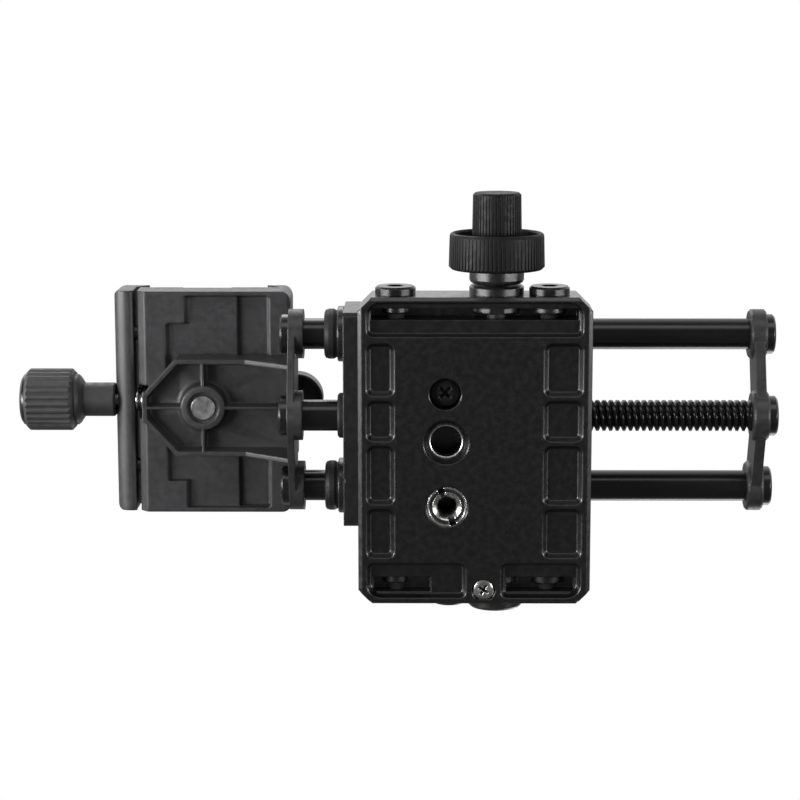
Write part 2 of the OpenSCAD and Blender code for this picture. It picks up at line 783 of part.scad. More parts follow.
module clamp_body() {
    color(dark_metal) difference() {
        union() {
            intersection() {
                plate_y(-jaw_len / 2, jaw_len) polygon([
                    [clamp_left, clamp_z + 2.2], [clamp_left + 2, clamp_z],
                    [clamp_right - 0.6, clamp_z], [clamp_right, clamp_z + 0.6],
                    [clamp_right, jaw_top - 1.2], [clamp_right - 1.2, jaw_top],
                    [channel_right - lip_slope, jaw_top],
                    [channel_right - lip_slope, jaw_top - jaw_h + lip_flat + lip_slope],
                    [channel_right, deck_z + lip_flat], [channel_right, deck_z],
                    [-64, deck_z], [-64, deck_z - 1], [-77, deck_z - 1], [-77, deck_z],
                    [clamp_left, deck_z]
                ]);
                clamp_plan(clamp_left - 5, clamp_right, 2.6);
            }
            // ear that holds the round level
            translate([level_x, 0, clamp_z + 4.5]) cylinder(r = level_r, h = 5.8);
        }
        // hollow underside of the ear
        intersection() {
            translate([level_x, 0, clamp_z + 4]) cylinder(r = level_r - 0.9, h = 2.2);
            translate([clamp_right, -10, clamp_z]) cube([20, 20, 20]);
        }
        translate([vial_x, 0, clamp_z + 7.2]) cylinder(r = vial_r + play, h = 20);
        clamp_recess();
        mirror([0, 1, 0]) clamp_recess();
        // screw, spring pocket open to below, and nut
        cyl_x(clamp_left - cut, -74, screw_r + 0.4, 0, screw_z);
        cyl_x(clamp_left - cut, spring_seat_x, spring_r + 0.4, 0, screw_z);
        translate([clamp_left - cut, -4.6, clamp_z - cut])
            cube([2.8 + cut, 9.2, screw_z - clamp_z + cut]);
        cyl_x(spring_seat_x - cut, spring_seat_x + nut_len + 0.3, nut_r, 0, screw_z);
        for (y = [-pin_y, pin_y]) cyl_x(clamp_left - cut, -74.5, pin_r + play, y, pin_z);
        translate([clamp_bolt_x, 0, clamp_z - cut]) cylinder(r = clamp_bolt_r + seat, h = 20);
        translate([clamp_bolt_x, 0, deck_z - 4]) cylinder(r = 5.3, h = 10);
    }
}

module clamp_bolt() {
    translate([clamp_bolt_x, 0, 0]) color(steel) difference() {
        union() {
            translate([0, 0, arm_low + 0.4])
                cylinder(r = clamp_bolt_r, h = deck_z - 4 - arm_low - 0.4);
            translate([0, 0, deck_z - 4]) cylinder(r = 5.1, h = 2.8);
        }
        translate([0, 0, deck_z - 3]) cylinder(r = 2.3, h = 4, $fn = 6);
    }
}

module clamp_nut() {
    x0 = spring_seat_x + 0.2;
    color(brass) difference() {
        cyl_x(x0, x0 + nut_len, nut_r - play, 0, screw_z);
        cyl_x(x0 - cut, x0 + nut_len + cut, screw_r + play, 0, screw_z);
    }
}

module level_vial() {
    translate([vial_x, 0, clamp_z + 7.2]) color([0.75, 0.9, 0.35, 0.8]) rotate_extrude()
        polygon([[0, 0], [vial_r, 0], [vial_r, 3], [2.4, 3.4], [0, 3.5]]);
}

// The rounded underside of the jaw: a large round outside and a small one by the gap
module jaw_round2d() {
    translate([jaw_outer + jaw_round[0], jaw_low + jaw_round[0]]) circle(jaw_round[0]);
    translate([channel_left - jaw_round[1], jaw_low + jaw_round[1]]) circle(jaw_round[1]);
    translate([jaw_outer + jaw_round[0], jaw_low])
        square([channel_left - jaw_round[1] - jaw_outer - jaw_round[0], jaw_h]);
    translate([jaw_outer + jaw_round[0], jaw_low + jaw_round[1]])
        square([channel_left - jaw_outer - jaw_round[0], 20]);
    translate([jaw_outer, jaw_low + jaw_round[0]]) square([channel_left + 8 - jaw_outer, 20]);
}

module movable_jaw() {
    color(dark_metal) difference() {
        intersection() {
            plate_y(-jaw_len / 2, jaw_len) jaw_round2d();
            plate_y(-jaw_len / 2, jaw_len) polygon([
                [jaw_outer - 1, jaw_low - 1], [channel_left, jaw_low - 1],
                [channel_left, deck_z + lip_flat],
                [channel_left + lip_slope, deck_z + lip_flat + lip_slope],
                [channel_left + lip_slope, jaw_top], [jaw_outer + 2.2, jaw_top],
                [jaw_outer - 1, jaw_top - 3.2]
            ]);
            clamp_plan(jaw_outer, channel_left + 8, 1.8);
        }
        cyl_x(jaw_outer - cut, channel_left + cut, screw_r + play, 0, screw_z);
        for (y = [-pin_y, pin_y]) cyl_x(pin_from, channel_left + cut, pin_r, y, pin_z);
    }
}

module jaw_pins() {
    color(steel) for (y = [-pin_y, pin_y]) cyl_x(pin_from, -76, pin_r, y, pin_z);
}

// Coil spring between jaw and body, as a closed sleeve with a crest for each coil
module jaw_spring() {
    coils = 4;
    x0 = channel_left + 0.1;
    x1 = spring_seat_x - 0.1;
    step = (x1 - x0) / coils;
    color(steel) turn_x(concat(
        [[screw_r + 0.3, x0]],
        [for (i = [0:coils - 1], p = [[-0.45, 0], [0, 0.25], [0, 0.75]])
            [spring_r + p[0], x0 + (i + p[1]) * step]],
        [[spring_r - 0.45, x1], [screw_r + 0.3, x1]]
    ), 0, screw_z);
}

module clamp_screw() {
    color(steel) cyl_x(grip_to + 2, spring_seat_x + nut_len + 0.4, screw_r, 0, screw_z);
}

module knob_neck() {
    color(knob_black) turn_x([
        [screw_r, jaw_outer - 0.1], [neck_r - 0.4, jaw_outer - 0.1], [neck_r, jaw_outer - 0.5],
        [neck_r, neck_to], [screw_r, neck_to]
    ], 0, screw_z);
}

module clamp_knob() {
    r = clamp_knob_d / 2;
    end = 0.9;
    foot_r = 6.75;
    color(knob_black) difference() {
        union() {
            turn_x([
                [0, neck_to], [4.6, neck_to], [foot_r - 0.5, neck_to - 1.1],
                [foot_r, neck_to - 1.7], [foot_r, grip_from - end], [0, grip_from - end]
            ], 0, screw_z);
            intersection() {
                turn_x([
                    [0, grip_from], [r - end, grip_from], [r, grip_from - end],
                    [r, grip_to + end], [r - end, grip_to], [0, grip_to]
                ], 0, screw_z);
                translate([grip_to - cut, 0, screw_z]) rotate([0, 90, 0])
                    linear_extrude(grip_from - grip_to + 2 * cut) flutes2d(r + 0.02, 0.5, 26);
            }
        }
        cyl_x(grip_to + 2, neck_to + cut, screw_r, 0, screw_z);
    }
}

module clamp_knob_cap() {
    color(knob_black) turn_x([
        [0, grip_to], [6.9, grip_to], [6.7, grip_to - 0.7], [5.8, grip_to - 1.3],
        [3, grip_to - 1.6], [0, grip_to - 1.6]
    ], 0, screw_z);
}

// ---- Focus drive ----

// One flank of a pinion tooth, as (radius, angle) points of an involute
function involute_angle(r) = let (b = pinion_pitch_r * cos(flank_angle), t = acos(min(1, b / r)))
    tan(t) * 180 / PI - t;
function flank_half(r) = (tooth_pitch / 2 - tooth_play / 2) / (2 * pinion_pitch_r) * 180 / PI
    + involute_angle(pinion_pitch_r) - involute_angle(r);

module pinion2d() {
    base_r = pinion_pitch_r * cos(flank_angle);
    radii = [pinion_root_r, base_r, for (k = [1:4]) base_r + k / 4 * (pinion_tip_r - base_r)];
    n = len(radii) - 1;
    polygon([
        for (i = [0:pinion_teeth - 1], s = [-1, 1], k = [0:n])
            let (r = radii[s < 0 ? k : n - k], a = 90 + i * 360 / pinion_teeth + s * flank_half(r))
                [r * cos(a), r * sin(a)]
    ]);
}

module pinion_shaft() {
    color(steel) difference() {
        union() {
            turn_y([
                [0, cup_floor], [shaft_r, cup_floor], [shaft_r, collar_out + 0.2],
                [carrier_r, collar_out + 0.2], [carrier_r, -28.5], [shaft_r, -28.5],
                [shaft_r, 42.6], [0, 42.6]
            ]);
            translate([knob_x, pinion_half_w, shaft_z]) rotate([90, 0, 0])
                linear_extrude(2 * pinion_half_w) pinion2d();
        }
        cyl_y(cup_floor - cut, -28.9, sun_r + play, knob_x, shaft_z);
        for (a = [90, 210, 330]) translate([knob_x, ball_y, shaft_z]) rotate([0, a, 0])
            cylinder(r = ball_r + play, h = 8);
    }
}

module shaft_clip() {
    color(dark_metal) difference() {
        cyl_y(41.1, 41.8, 3.8, knob_x, shaft_z);
        cyl_y(41, 42, shaft_r, knob_x, shaft_z);
        translate([knob_x - 1, 41, shaft_z - 5]) cube([2, 1, 4]);
    }
}

module reduction_balls() {
    color(steel) for (a = [90, 210, 330]) translate([knob_x, ball_y, shaft_z])
        rotate([0, a, 0]) translate([0, 0, ball_path_r]) sphere(r = ball_r);
}

module coarse_hub() {
    color(knob_black) turn_y([
        [shaft_r, cup_base], [6.87, cup_base], [6.87, hub_in - 1], [6.6, hub_in - 0.4],
        [6, hub_in], [shaft_r, hub_in]
    ]);
}

module coarse_knob() {
    r = coarse_d / 2;
    color(knob_black) intersection() {
        turn_y([
            [shaft_r, cup_base], [r - 0.7, cup_base], [r, cup_base - 0.7], [r - 0.2, cup_rim + 0.8],
            [r - 0.4, cup_rim + 0.25], [r - 0.85, cup_rim], [r - 1.2, cup_rim + 0.1],
            [r - 1.5, cup_rim + 0.5], [r - 1.6, cup_floor - 0.6], [r - 2.2, cup_floor],
            [shaft_r, cup_floor]
        ]);
        translate([knob_x, cup_base + 1, shaft_z]) rotate([90, 0, 0])
            linear_extrude(cup_base - cup_rim + 2) ribs2d(r, 0.3, 72);
    }
}

module fine_shaft() {
    color(steel) cyl_y(-52, -29.1, sun_r, knob_x, shaft_z);
}

module fine_knob() {
    r = fine_d / 2;
    taper = 0.25;
    bevel = 0.5;
    color(knob_black) difference() {
        intersection() {
            turn_y([
                [0, fine_base], [r - bevel, fine_base], [r, fine_base - bevel],
                [r - taper, fine_end + bevel], [r - taper - bevel, fine_end], [0, fine_end]
            ]);
            translate([knob_x, fine_base + cut, shaft_z]) rotate([90, 0, 0])
                linear_extrude(fine_base - fine_end + 2 * cut) ribs2d(r + 0.05, 0.4, 44);
        }
        cyl_y(-52, fine_base + cut, sun_r, knob_x, shaft_z);
    }
}

carriage_base();
rod_housing();
bearing_plate();
guide_bushes();
rack_bush();
wiper_seals();
seal_flanges();
rack_seal();
thread_insert();
reducer_bush();
base_screw();
lock_screw();
housing_screws();
cross_bolts();
knob_collar();
shaft_bushes();
rear_cap();
side_plug();
guide_rod_front();
guide_rod_rear();
rack_rod();
clamp_bracket();
end_plate();
bracket_rod_bolts();
end_rod_bolts();
clamp_body();
clamp_bolt();
clamp_nut();
level_vial();
movable_jaw();
jaw_pins();
jaw_spring();
clamp_screw();
knob_neck();
clamp_knob();
clamp_knob_cap();
pinion_shaft();
shaft_clip();
reduction_balls();
coarse_hub();
coarse_knob();
fine_shaft();
fine_knob();
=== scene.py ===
"""A macro focusing rail, seen from below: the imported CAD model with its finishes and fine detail.

Lengths are in metres in the CAD frame: X along the rods, the knobs on the -Y side, Z up.
"""
import math

import bmesh
import bpy
from mathutils import Matrix, Vector


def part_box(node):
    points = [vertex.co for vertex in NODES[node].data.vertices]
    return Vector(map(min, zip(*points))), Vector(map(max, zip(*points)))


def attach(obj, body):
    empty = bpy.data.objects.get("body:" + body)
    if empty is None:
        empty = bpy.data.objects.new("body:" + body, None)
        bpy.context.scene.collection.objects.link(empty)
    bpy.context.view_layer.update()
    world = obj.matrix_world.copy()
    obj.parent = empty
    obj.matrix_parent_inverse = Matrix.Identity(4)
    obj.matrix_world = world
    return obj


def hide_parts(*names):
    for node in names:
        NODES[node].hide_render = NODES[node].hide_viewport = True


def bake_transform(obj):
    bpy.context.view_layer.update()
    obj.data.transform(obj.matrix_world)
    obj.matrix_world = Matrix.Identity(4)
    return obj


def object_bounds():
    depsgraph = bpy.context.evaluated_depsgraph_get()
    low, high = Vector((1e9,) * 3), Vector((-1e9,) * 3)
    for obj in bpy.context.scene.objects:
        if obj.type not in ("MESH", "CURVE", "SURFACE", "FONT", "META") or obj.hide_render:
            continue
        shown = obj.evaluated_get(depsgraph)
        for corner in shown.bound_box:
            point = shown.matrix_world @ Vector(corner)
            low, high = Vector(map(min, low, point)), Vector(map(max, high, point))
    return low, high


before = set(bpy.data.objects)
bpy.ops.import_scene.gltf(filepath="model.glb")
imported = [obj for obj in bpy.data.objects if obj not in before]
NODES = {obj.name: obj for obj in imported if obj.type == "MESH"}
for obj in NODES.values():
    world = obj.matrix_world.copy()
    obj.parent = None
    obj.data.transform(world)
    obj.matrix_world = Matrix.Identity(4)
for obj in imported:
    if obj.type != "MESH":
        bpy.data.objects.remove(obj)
CAD_BOX = [list(corner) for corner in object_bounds()]

MM = 0.001
TURN = 2 * math.pi

# ---- Camera, as in the photograph: below the tripod face, a little towards the knobs ----
CAMERA_AT = Vector((-12.7, -104.3, -559.6)) * MM
CAMERA_AIM = Vector((-18.7, -6.6, 0)) * MM
CAMERA_ROLL = math.radians(0.06)
CAMERA_LENS = 102.4
CAMERA_SENSOR = 36
CAMERA_CLIP = (0.01, 50)

# ---- Light; a strength of 1 is as bright as a white backdrop ----
WHITE = (1, 1, 1, 1)
SKY = 0.84                              # overhead
SKY_AT_BACK = 0.15                      # share of it that is left on the side away from the knobs
SKY_EVERYWHERE = 0.12                   # added all round
SKY_ON_MATT = 0.45                      # share of both that lights matt surfaces
STRIP, GLINT, SIDE, ABOVE = (0.22, 0.7), (0.14, 0.7), (0.9, 0.28), (0.5, 0.4)   # lamp sizes
LAMPS = (                               # name, place, size, strength, seen in gloss alone
    ("left_strip", (-0.66, -0.06, -0.28), STRIP, 12.0, False),
    ("left_glint", (-0.60, -0.06, -0.34), GLINT, 8.0, True),
    ("right_strip", (0.66, -0.04, -0.28), STRIP, 1.9, False),
    ("right_glint", (0.60, -0.04, -0.34), GLINT, 10.0, True),
    ("knob_side", (0.0, -0.60, -0.30), SIDE, 1.6, False),
    ("above_front", (-0.2, -0.55, 0.6), ABOVE, 3.0, False),
    ("above_back", (0.3, 0.6, 0.5), ABOVE, 2.5, False),
)
LAMP_AIM = Vector((0, 0, 0.015))

FLOOR_GREY = (0.85, 0.85, 0.85, 1)
FLOOR_SIZE = 6
FLOOR_GAP = 0.0002
FLOOR_FADE = (0.18, 0.6)                # it turns white between these distances

# ---- Finishes ----
BEVEL_SAMPLES = 6
COAT_ROUGHNESS = 0.18
DULL_SHANK_ROUGHNESS = 0.85
RELIEF_DEPTH = 0.02 * MM
TOOL_MARKS = 9 / MM

# ---- Detail that the CAD nodes leave plain, in millimetres from here on ----
LARGE_THREAD_PITCH = 1.5875             # 3/8-16
SMALL_THREAD_PITCH = 1.27               # 1/4-20
CLAMP_SCREW_PITCH = 1.0
INSERT_BORE = 3.85                      # radius at the crests of its thread
INSERT_LIP = 0.4                        # radius of its rounded mouth
BUSH_BORE = 2.3                         # the same
BUSH_OUTER = 4.7                        # radius of its outer thread
BUSH_SLOT = (0.85, 1.5)                 # half width and depth
BUSH_SLOT_LEAN = math.radians(-20)
RACK_PITCH = 1.7
RACK_STARTS = 2
RACK_TEETH = (-4.0, 70.6)               # X of the first and the last tooth
KNOB_AXIS_X = 5.5
WELD = 0.0005                           # points closer than this are one
CAST_WELD = 0.002                       # the same, after a casting has been cut and joined
STEP = 0.002                            # keeps two faces out of one plane

# ---- The carriage's casting, as the CAD node has it ----
BASE_CORNER = 3.5                       # the 45 degree cut at its four corners
COLUMNS_PLAIN = ((-28.0, -20.1), (17.2, 27.9))      # X of the two columns of pockets
PLAIN_COLUMN_Y = (-21.5, 34.8)          # just past both ends of a column
PLAIN_REACH = 28.3                      # X where the front and rear pockets end, either side
PLAIN_FRONT_TO, PLAIN_REAR_FROM = -19.5, 33
PLAIN_REAR_X = (-1.8, 6.6)              # X between the two rear pockets

# ---- and as it is cut again, with rounded edges ----
BASE_BEVEL = (0.95, 0.62)               # round the lower face: inwards, and up
COLUMNS = ((-26.95, -20.35), (17.5, 26.8))
ROWS = ((-20.6, -7.6), (-6.2, 3.9), (5.3, 20.1), (21.5, 33.9))      # Y in each column
FRONT_TO, REAR_FROM = -22.5, 35.5
REAR_X = (-2.2, 6.9)
WIDE, TIGHT = 3.4, 1.6                  # corner radii of the front and rear pockets
FRONT_SLOT_Y, REAR_SLOT_Y = (-29.3, -26.4), (39.4, 43.2)
FRONT_SLOT_TOP, REAR_SLOT_TOP = 10, 6.4
REAR_SLOT_X = (-11.0, 8.1)
SLOT_FROM = 1.5                         # Z where the slots start, inside the pockets
STUB_R = (3.3, 5.9, 4.3)                # bosses round the left bolt, the shaft, the right bolt
FRONT_STUB_TO, REAR_STUB_TO = -27.7, 41.5

# ---- The boss under the bracket's arm ----
ARM_BOSS_Z = (25.0, 28.8)               # its lower face, and the floor that it stands on
ARM_BOSS_R = (5.8, 6.6)                 # its radius at those two
ARM_BOSS_HOLE = 4.15
ARM_BOSS_PLAIN = 7.7                    # the CAD node's own boss lies within this radius
ARM_RIB = (0.35, 0.75)                  # half width of a rib at those two


# ---------------------------------------------------------------------------
# Camera, lights and floor
# ---------------------------------------------------------------------------

def place_camera():
    """The photograph's camera: its upper edge looks towards the knobs."""
    data = bpy.data.cameras.new("camera")
    data.lens = CAMERA_LENS
    data.sensor_width = CAMERA_SENSOR
    data.clip_start, data.clip_end = CAMERA_CLIP
    camera = bpy.data.objects.new("camera", data)
    bpy.context.scene.collection.objects.link(camera)
    forward = (CAMERA_AIM - CAMERA_AT).normalized()
    right = forward.cross(Vector((0, -1, 0))).normalized()
    right.rotate(Matrix.Rotation(CAMERA_ROLL, 3, forward))
    up = right.cross(forward)
    turn = Matrix((right, up, -forward)).transposed()
    camera.matrix_world = Matrix.Translation(CAMERA_AT) @ turn.to_4x4()
    bpy.context.scene.camera = camera


def area_lamp(name, at, size, strength, gloss_only):
    """A soft rectangular lamp, aimed at the object."""
    data = bpy.data.lights.new(name, "AREA")
    data.shape = "RECTANGLE"
    data.size, data.size_y = size
    data.energy = strength * math.pi * size[0] * size[1]
    lamp = bpy.data.objects.new(name, data)
    bpy.context.scene.collection.objects.link(lamp)
    lamp.location = at
    lamp.rotation_euler = (LAMP_AIM - Vector(at)).to_track_quat("-Z", "Y").to_euler()
    lamp.visible_camera = False
    lamp.visible_diffuse = not gloss_only


def map_range(nodes, links, value, low, high, to_low, to_high, smooth=True):
    """A Map Range node fed by a socket; returns its result socket."""
    node = nodes.new("ShaderNodeMapRange")
    if smooth:
        node.interpolation_type = "SMOOTHSTEP"
    node.inputs["From Min"].default_value = low
    node.inputs["From Max"].default_value = high
    node.inputs["To Min"].default_value = to_low
    node.inputs["To Max"].default_value = to_high
    links.new(value, node.inputs["Value"])
    return node.outputs["Result"]


def math_node(nodes, links, operation, first, second):
    """A Math node; each input is a socket or a number."""
    node = nodes.new("ShaderNodeMath")
    node.operation = operation
    for slot, value in enumerate((first, second)):
        if isinstance(value, (int, float)):
            node.inputs[slot].default_value = value
        else:
            links.new(value, node.inputs[slot])
    return node.outputs[0]


def studio():
    """White behind and above the object, dim where the photographer stands, and soft lamps."""
    world = bpy.data.worlds.new("studio")
    bpy.context.scene.world = world
    world.use_nodes = True
    nodes, links = world.node_tree.nodes, world.node_tree.links
    nodes.clear()
    out = nodes.new("ShaderNodeOutputWorld")
    white = nodes.new("ShaderNodeBackground")
    white.inputs["Color"].default_value = WHITE
    white.inputs["Strength"].default_value = 1
    soft = nodes.new("ShaderNodeBackground")
    soft.inputs["Color"].default_value = WHITE
    where = nodes.new("ShaderNodeTexCoord")
    split = nodes.new("ShaderNodeSeparateXYZ")
    links.new(where.outputs["Generated"], split.inputs[0])
    above = map_range(nodes, links, split.outputs["Z"], -0.1, 0.6, 0.0, SKY)
    fronted = map_range(nodes, links, split.outputs["Y"], -0.04, 0.12, 1.0, SKY_AT_BACK)
    shaded = math_node(nodes, links, "MULTIPLY", above, fronted)
    path = nodes.new("ShaderNodeLightPath")
    matt = map_range(nodes, links, path.outputs["Is Diffuse Ray"], 0, 1, 1.0, SKY_ON_MATT,
                     smooth=False)
    links.new(math_node(nodes, links, "ADD", math_node(nodes, links, "MULTIPLY", shaded, matt),
                        math_node(nodes, links, "MULTIPLY", matt, SKY_EVERYWHERE)),
              soft.inputs["Strength"])
    seen = math_node(nodes, links, "MAXIMUM",
                     path.outputs["Is Camera Ray"], path.outputs["Is Transmission Ray"])
    mix = nodes.new("ShaderNodeMixShader")
    links.new(seen, mix.inputs["Fac"])
    links.new(soft.outputs[0], mix.inputs[1])
    links.new(white.outputs[0], mix.inputs[2])
    links.new(mix.outputs[0], out.inputs["Surface"])
    bpy.context.scene.view_settings.view_transform = "Standard"

    for lamp in LAMPS:
        area_lamp(*lamp)


def floor():
    """A pale floor that fades to white, seen only from above: the camera below looks through it."""
    material, nodes, links = node_tree("pale_floor")
    out = nodes.new("ShaderNodeOutputMaterial")
    matt = nodes.new("ShaderNodeBsdfDiffuse")
    matt.inputs["Color"].default_value = FLOOR_GREY
    far = nodes.new("ShaderNodeEmission")
    far.inputs["Color"].default_value = WHITE
    far.inputs["Strength"].default_value = 1
    clear = nodes.new("ShaderNodeBsdfTransparent")
    where = nodes.new("ShaderNodeTexCoord")
    reach = nodes.new("ShaderNodeVectorMath")
    reach.operation = "LENGTH"
    links.new(where.outputs["Object"], reach.inputs[0])
    fade = map_range(nodes, links, reach.outputs["Value"], *FLOOR_FADE, 0.0, 1.0)
    spread = nodes.new("ShaderNodeMixShader")
    links.new(fade, spread.inputs["Fac"])
    links.new(matt.outputs[0], spread.inputs[1])
    links.new(far.outputs[0], spread.inputs[2])
    side = nodes.new("ShaderNodeNewGeometry")
    mix = nodes.new("ShaderNodeMixShader")
    links.new(side.outputs["Backfacing"], mix.inputs["Fac"])
    links.new(spread.outputs[0], mix.inputs[1])
    links.new(clear.outputs[0], mix.inputs[2])
    links.new(mix.outputs[0], out.inputs["Surface"])
    low = CAD_BOX[0][2] - FLOOR_GAP
    bpy.ops.mesh.primitive_plane_add(size=FLOOR_SIZE, location=(0, 0, low))
    plane = bpy.context.object
    plane.name = "floor"
    plane.data.materials.append(material)
    for ray in ("diffuse", "glossy", "transmission", "volume_scatter", "shadow"):
        setattr(plane, "visible_" + ray, False)


# ---------------------------------------------------------------------------
# Materials
# ---------------------------------------------------------------------------

def node_tree(name):
    """A new material, with its nodes and links and no default nodes."""
    material = bpy.data.materials.new(name)
    material.use_nodes = True
    tree = material.node_tree
    tree.nodes.clear()
    return material, tree.nodes, tree.links


def noise(nodes, links, place, scale, detail=4.0, rough=0.55):
    """Noise whose scale is in waves per millimetre; returns its value socket."""
    node = nodes.new("ShaderNodeTexNoise")
    node.inputs["Scale"].default_value = scale / MM
    node.inputs["Detail"].default_value = detail
    node.inputs["Roughness"].default_value = rough
    links.new(place, node.inputs["Vector"])
    return node.outputs["Fac"]


def finish(name, colour, roughness, metallic=0.0, edge=0.35, wear=(0.09, 0.09, 0.09),
           wear_share=0.5, grain=2.5, bump=0.25, mottle=0.18, coat=0.0, stretch=(1, 1, 1),
           rings=None, dull_and_shaded_past=None, shine=0.5):
    """A worn, slightly uneven finish.

    edge is the radius of rounded edges in millimetres, and wear the colour that shows on them;
    grain is the finest bumps, in waves per millimetre; stretch scales the pattern along X, Y, Z;
    rings is (point, axis letter) for a turned face with circular tool marks; past a Y that may be
    given, in millimetres, the finish is rougher and its colour is painted darker: painted shade
    on a bolt's shank, inside the casting and across its slot.
    """
    material, nodes, links = node_tree(name)
    out = nodes.new("ShaderNodeOutputMaterial")
    skin = nodes.new("ShaderNodeBsdfPrincipled")
    where = nodes.new("ShaderNodeTexCoord")
    place = where.outputs["Object"]
    if stretch != (1, 1, 1):
        scaled = nodes.new("ShaderNodeVectorMath")
        scaled.operation = "MULTIPLY"
        scaled.inputs[1].default_value = stretch
        links.new(place, scaled.inputs[0])
        place = scaled.outputs[0]

    broad = noise(nodes, links, place, 0.08, 3.0)
    cloud = noise(nodes, links, place, 0.6, 5.0)
    fine = noise(nodes, links, place, grain, 3.0, 0.6)

    rounded = nodes.new("ShaderNodeBevel")
    rounded.samples = BEVEL_SAMPLES
    rounded.inputs["Radius"].default_value = edge * MM
    shape = nodes.new("ShaderNodeNewGeometry")
    facing = nodes.new("ShaderNodeVectorMath")
    facing.operation = "DOT_PRODUCT"
    links.new(rounded.outputs[0], facing.inputs[0])
    links.new(shape.outputs["Normal"], facing.inputs[1])
    rim = map_range(nodes, links, facing.outputs["Value"], 0.999, 0.86, 0.0, 1.0)
    patchy = map_range(nodes, links, cloud, 0.42, 0.62, 0.15, 1.0)
    worn = math_node(nodes, links, "MULTIPLY", rim,
                     math_node(nodes, links, "MULTIPLY", patchy, wear_share))

    shade = map_range(nodes, links, math_node(nodes, links, "ADD", broad, cloud),
                      0.7, 1.3, 1.0 - mottle, 1.0 + mottle)
    base = nodes.new("ShaderNodeVectorMath")
    base.operation = "SCALE"
    base.inputs[0].default_value = colour
    links.new(shade, base.inputs["Scale"])
    tint = nodes.new("ShaderNodeMix")
    tint.data_type = "RGBA"
    links.new(worn, tint.inputs["Factor"])
    links.new(base.outputs[0], tint.inputs["A"])
    tint.inputs["B"].default_value = (*wear, 1)
    links.new(tint.outputs["Result"], skin.inputs["Base Color"])

    uneven = map_range(nodes, links, cloud, 0.3, 0.7, roughness * 0.85, min(1.0, roughness * 1.2))
    gloss = math_node(nodes, links, "SUBTRACT", uneven,
                      math_node(nodes, links, "MULTIPLY", worn, roughness * 0.3))
    # painted shade: past that Y the colour is darkened to a fifth, and the finish is rougher
    if dull_and_shaded_past is not None:
        split = nodes.new("ShaderNodeSeparateXYZ")
        links.new(where.outputs["Object"], split.inputs[0])
        far = map_range(nodes, links, split.outputs["Y"], (dull_and_shaded_past - 0.2) * MM,
                        (dull_and_shaded_past + 0.2) * MM, 0.0, 1.0)
        gloss = math_node(nodes, links, "MAXIMUM", gloss,
                          math_node(nodes, links, "MULTIPLY", far, DULL_SHANK_ROUGHNESS))
        links.new(math_node(nodes, links, "MULTIPLY", shade,
                            math_node(nodes, links, "SUBTRACT", 1.0,
                                      math_node(nodes, links, "MULTIPLY", far, 0.8))),
                  base.inputs["Scale"])
    links.new(gloss, skin.inputs["Roughness"])
    skin.inputs["Metallic"].default_value = metallic
    skin.inputs["Specular IOR Level"].default_value = shine
    if coat:
        skin.inputs["Coat Weight"].default_value = coat
        skin.inputs["Coat Roughness"].default_value = COAT_ROUGHNESS

    height = fine
    if rings:
        point, axis = rings
        height = tool_marks(nodes, links, where.outputs["Object"], point, axis)
    relief = nodes.new("ShaderNodeBump")
    relief.inputs["Strength"].default_value = bump
    relief.inputs["Distance"].default_value = RELIEF_DEPTH
    links.new(height, relief.inputs["Height"])
    links.new(rounded.outputs[0], relief.inputs["Normal"])
    links.new(relief.outputs[0], skin.inputs["Normal"])
    if coat:
        links.new(rounded.outputs[0], skin.inputs["Coat Normal"])
    links.new(skin.outputs[0], out.inputs["Surface"])
    return material


def tool_marks(nodes, links, place, point, axis):
    """Height of fine circles round an axis, as a lathe leaves them."""
    shifted = nodes.new("ShaderNodeVectorMath")
    shifted.operation = "SUBTRACT"
    shifted.inputs[1].default_value = point
    links.new(place, shifted.inputs[0])
    flat = nodes.new("ShaderNodeVectorMath")
    flat.operation = "MULTIPLY"
    flat.inputs[1].default_value = [0.0 if letter == axis else 1.0 for letter in "XYZ"]
    links.new(shifted.outputs[0], flat.inputs[0])
    radius = nodes.new("ShaderNodeVectorMath")
    radius.operation = "LENGTH"
    links.new(flat.outputs[0], radius.inputs[0])
    circles = nodes.new("ShaderNodeTexNoise")
    circles.noise_dimensions = "1D"
    circles.inputs["Scale"].default_value = TOOL_MARKS
    circles.inputs["Detail"].default_value = 2.0
    links.new(radius.outputs["Value"], circles.inputs["W"])
    return circles.outputs["Fac"]


# ---------------------------------------------------------------------------
# Mesh code for the detail pieces
# ---------------------------------------------------------------------------

BOX_FACES = [(3, 2, 1, 0), (4, 5, 6, 7), (0, 1, 5, 4), (1, 2, 6, 5), (2, 3, 7, 6), (3, 0, 4, 7)]


def shade(mesh, smooth_below, weld=WELD, outwards=False):
    """Joins doubled points, then shades smoothly across edges below the given angle."""
    shape = bmesh.new()
    shape.from_mesh(mesh)
    bmesh.ops.remove_doubles(shape, verts=shape.verts, dist=weld * MM)
    if outwards:
        bmesh.ops.recalc_face_normals(shape, faces=shape.faces)
    limit = math.radians(smooth_below)
    for face in shape.faces:
        face.smooth = True
    for edge in shape.edges:
        edge.smooth = len(edge.link_faces) == 2 and edge.calc_face_angle(0) < limit
    shape.to_mesh(mesh)
    shape.free()


def new_piece(name, points, faces, material, smooth_below=40):
    """An object from points in millimetres and faces, with sharp edges past the given angle."""
    mesh = bpy.data.meshes.new(name)
    mesh.from_pydata([Vector(p) * MM for p in points], [], faces)
    piece = bpy.data.objects.new(name, mesh)
    bpy.context.scene.collection.objects.link(piece)
    shade(mesh, smooth_below, outwards=True)
    mesh.materials.append(material)
    return piece


def settle(piece, body, slot, *replaced):
    """Fixes a piece to its body, and hides the CAD nodes that it may stand for; slot is not used.
    """
    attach(piece, body)
    if replaced:
        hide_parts(*replaced)
    return piece


def box_of(node):
    """Lower and upper corner of a CAD node's box, in millimetres."""
    low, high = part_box(node)
    return low / MM, high / MM


def centre_of(node):
    """Middle of a CAD node's box, in millimetres."""
    low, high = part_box(node)
    return (low + high) / 2 / MM


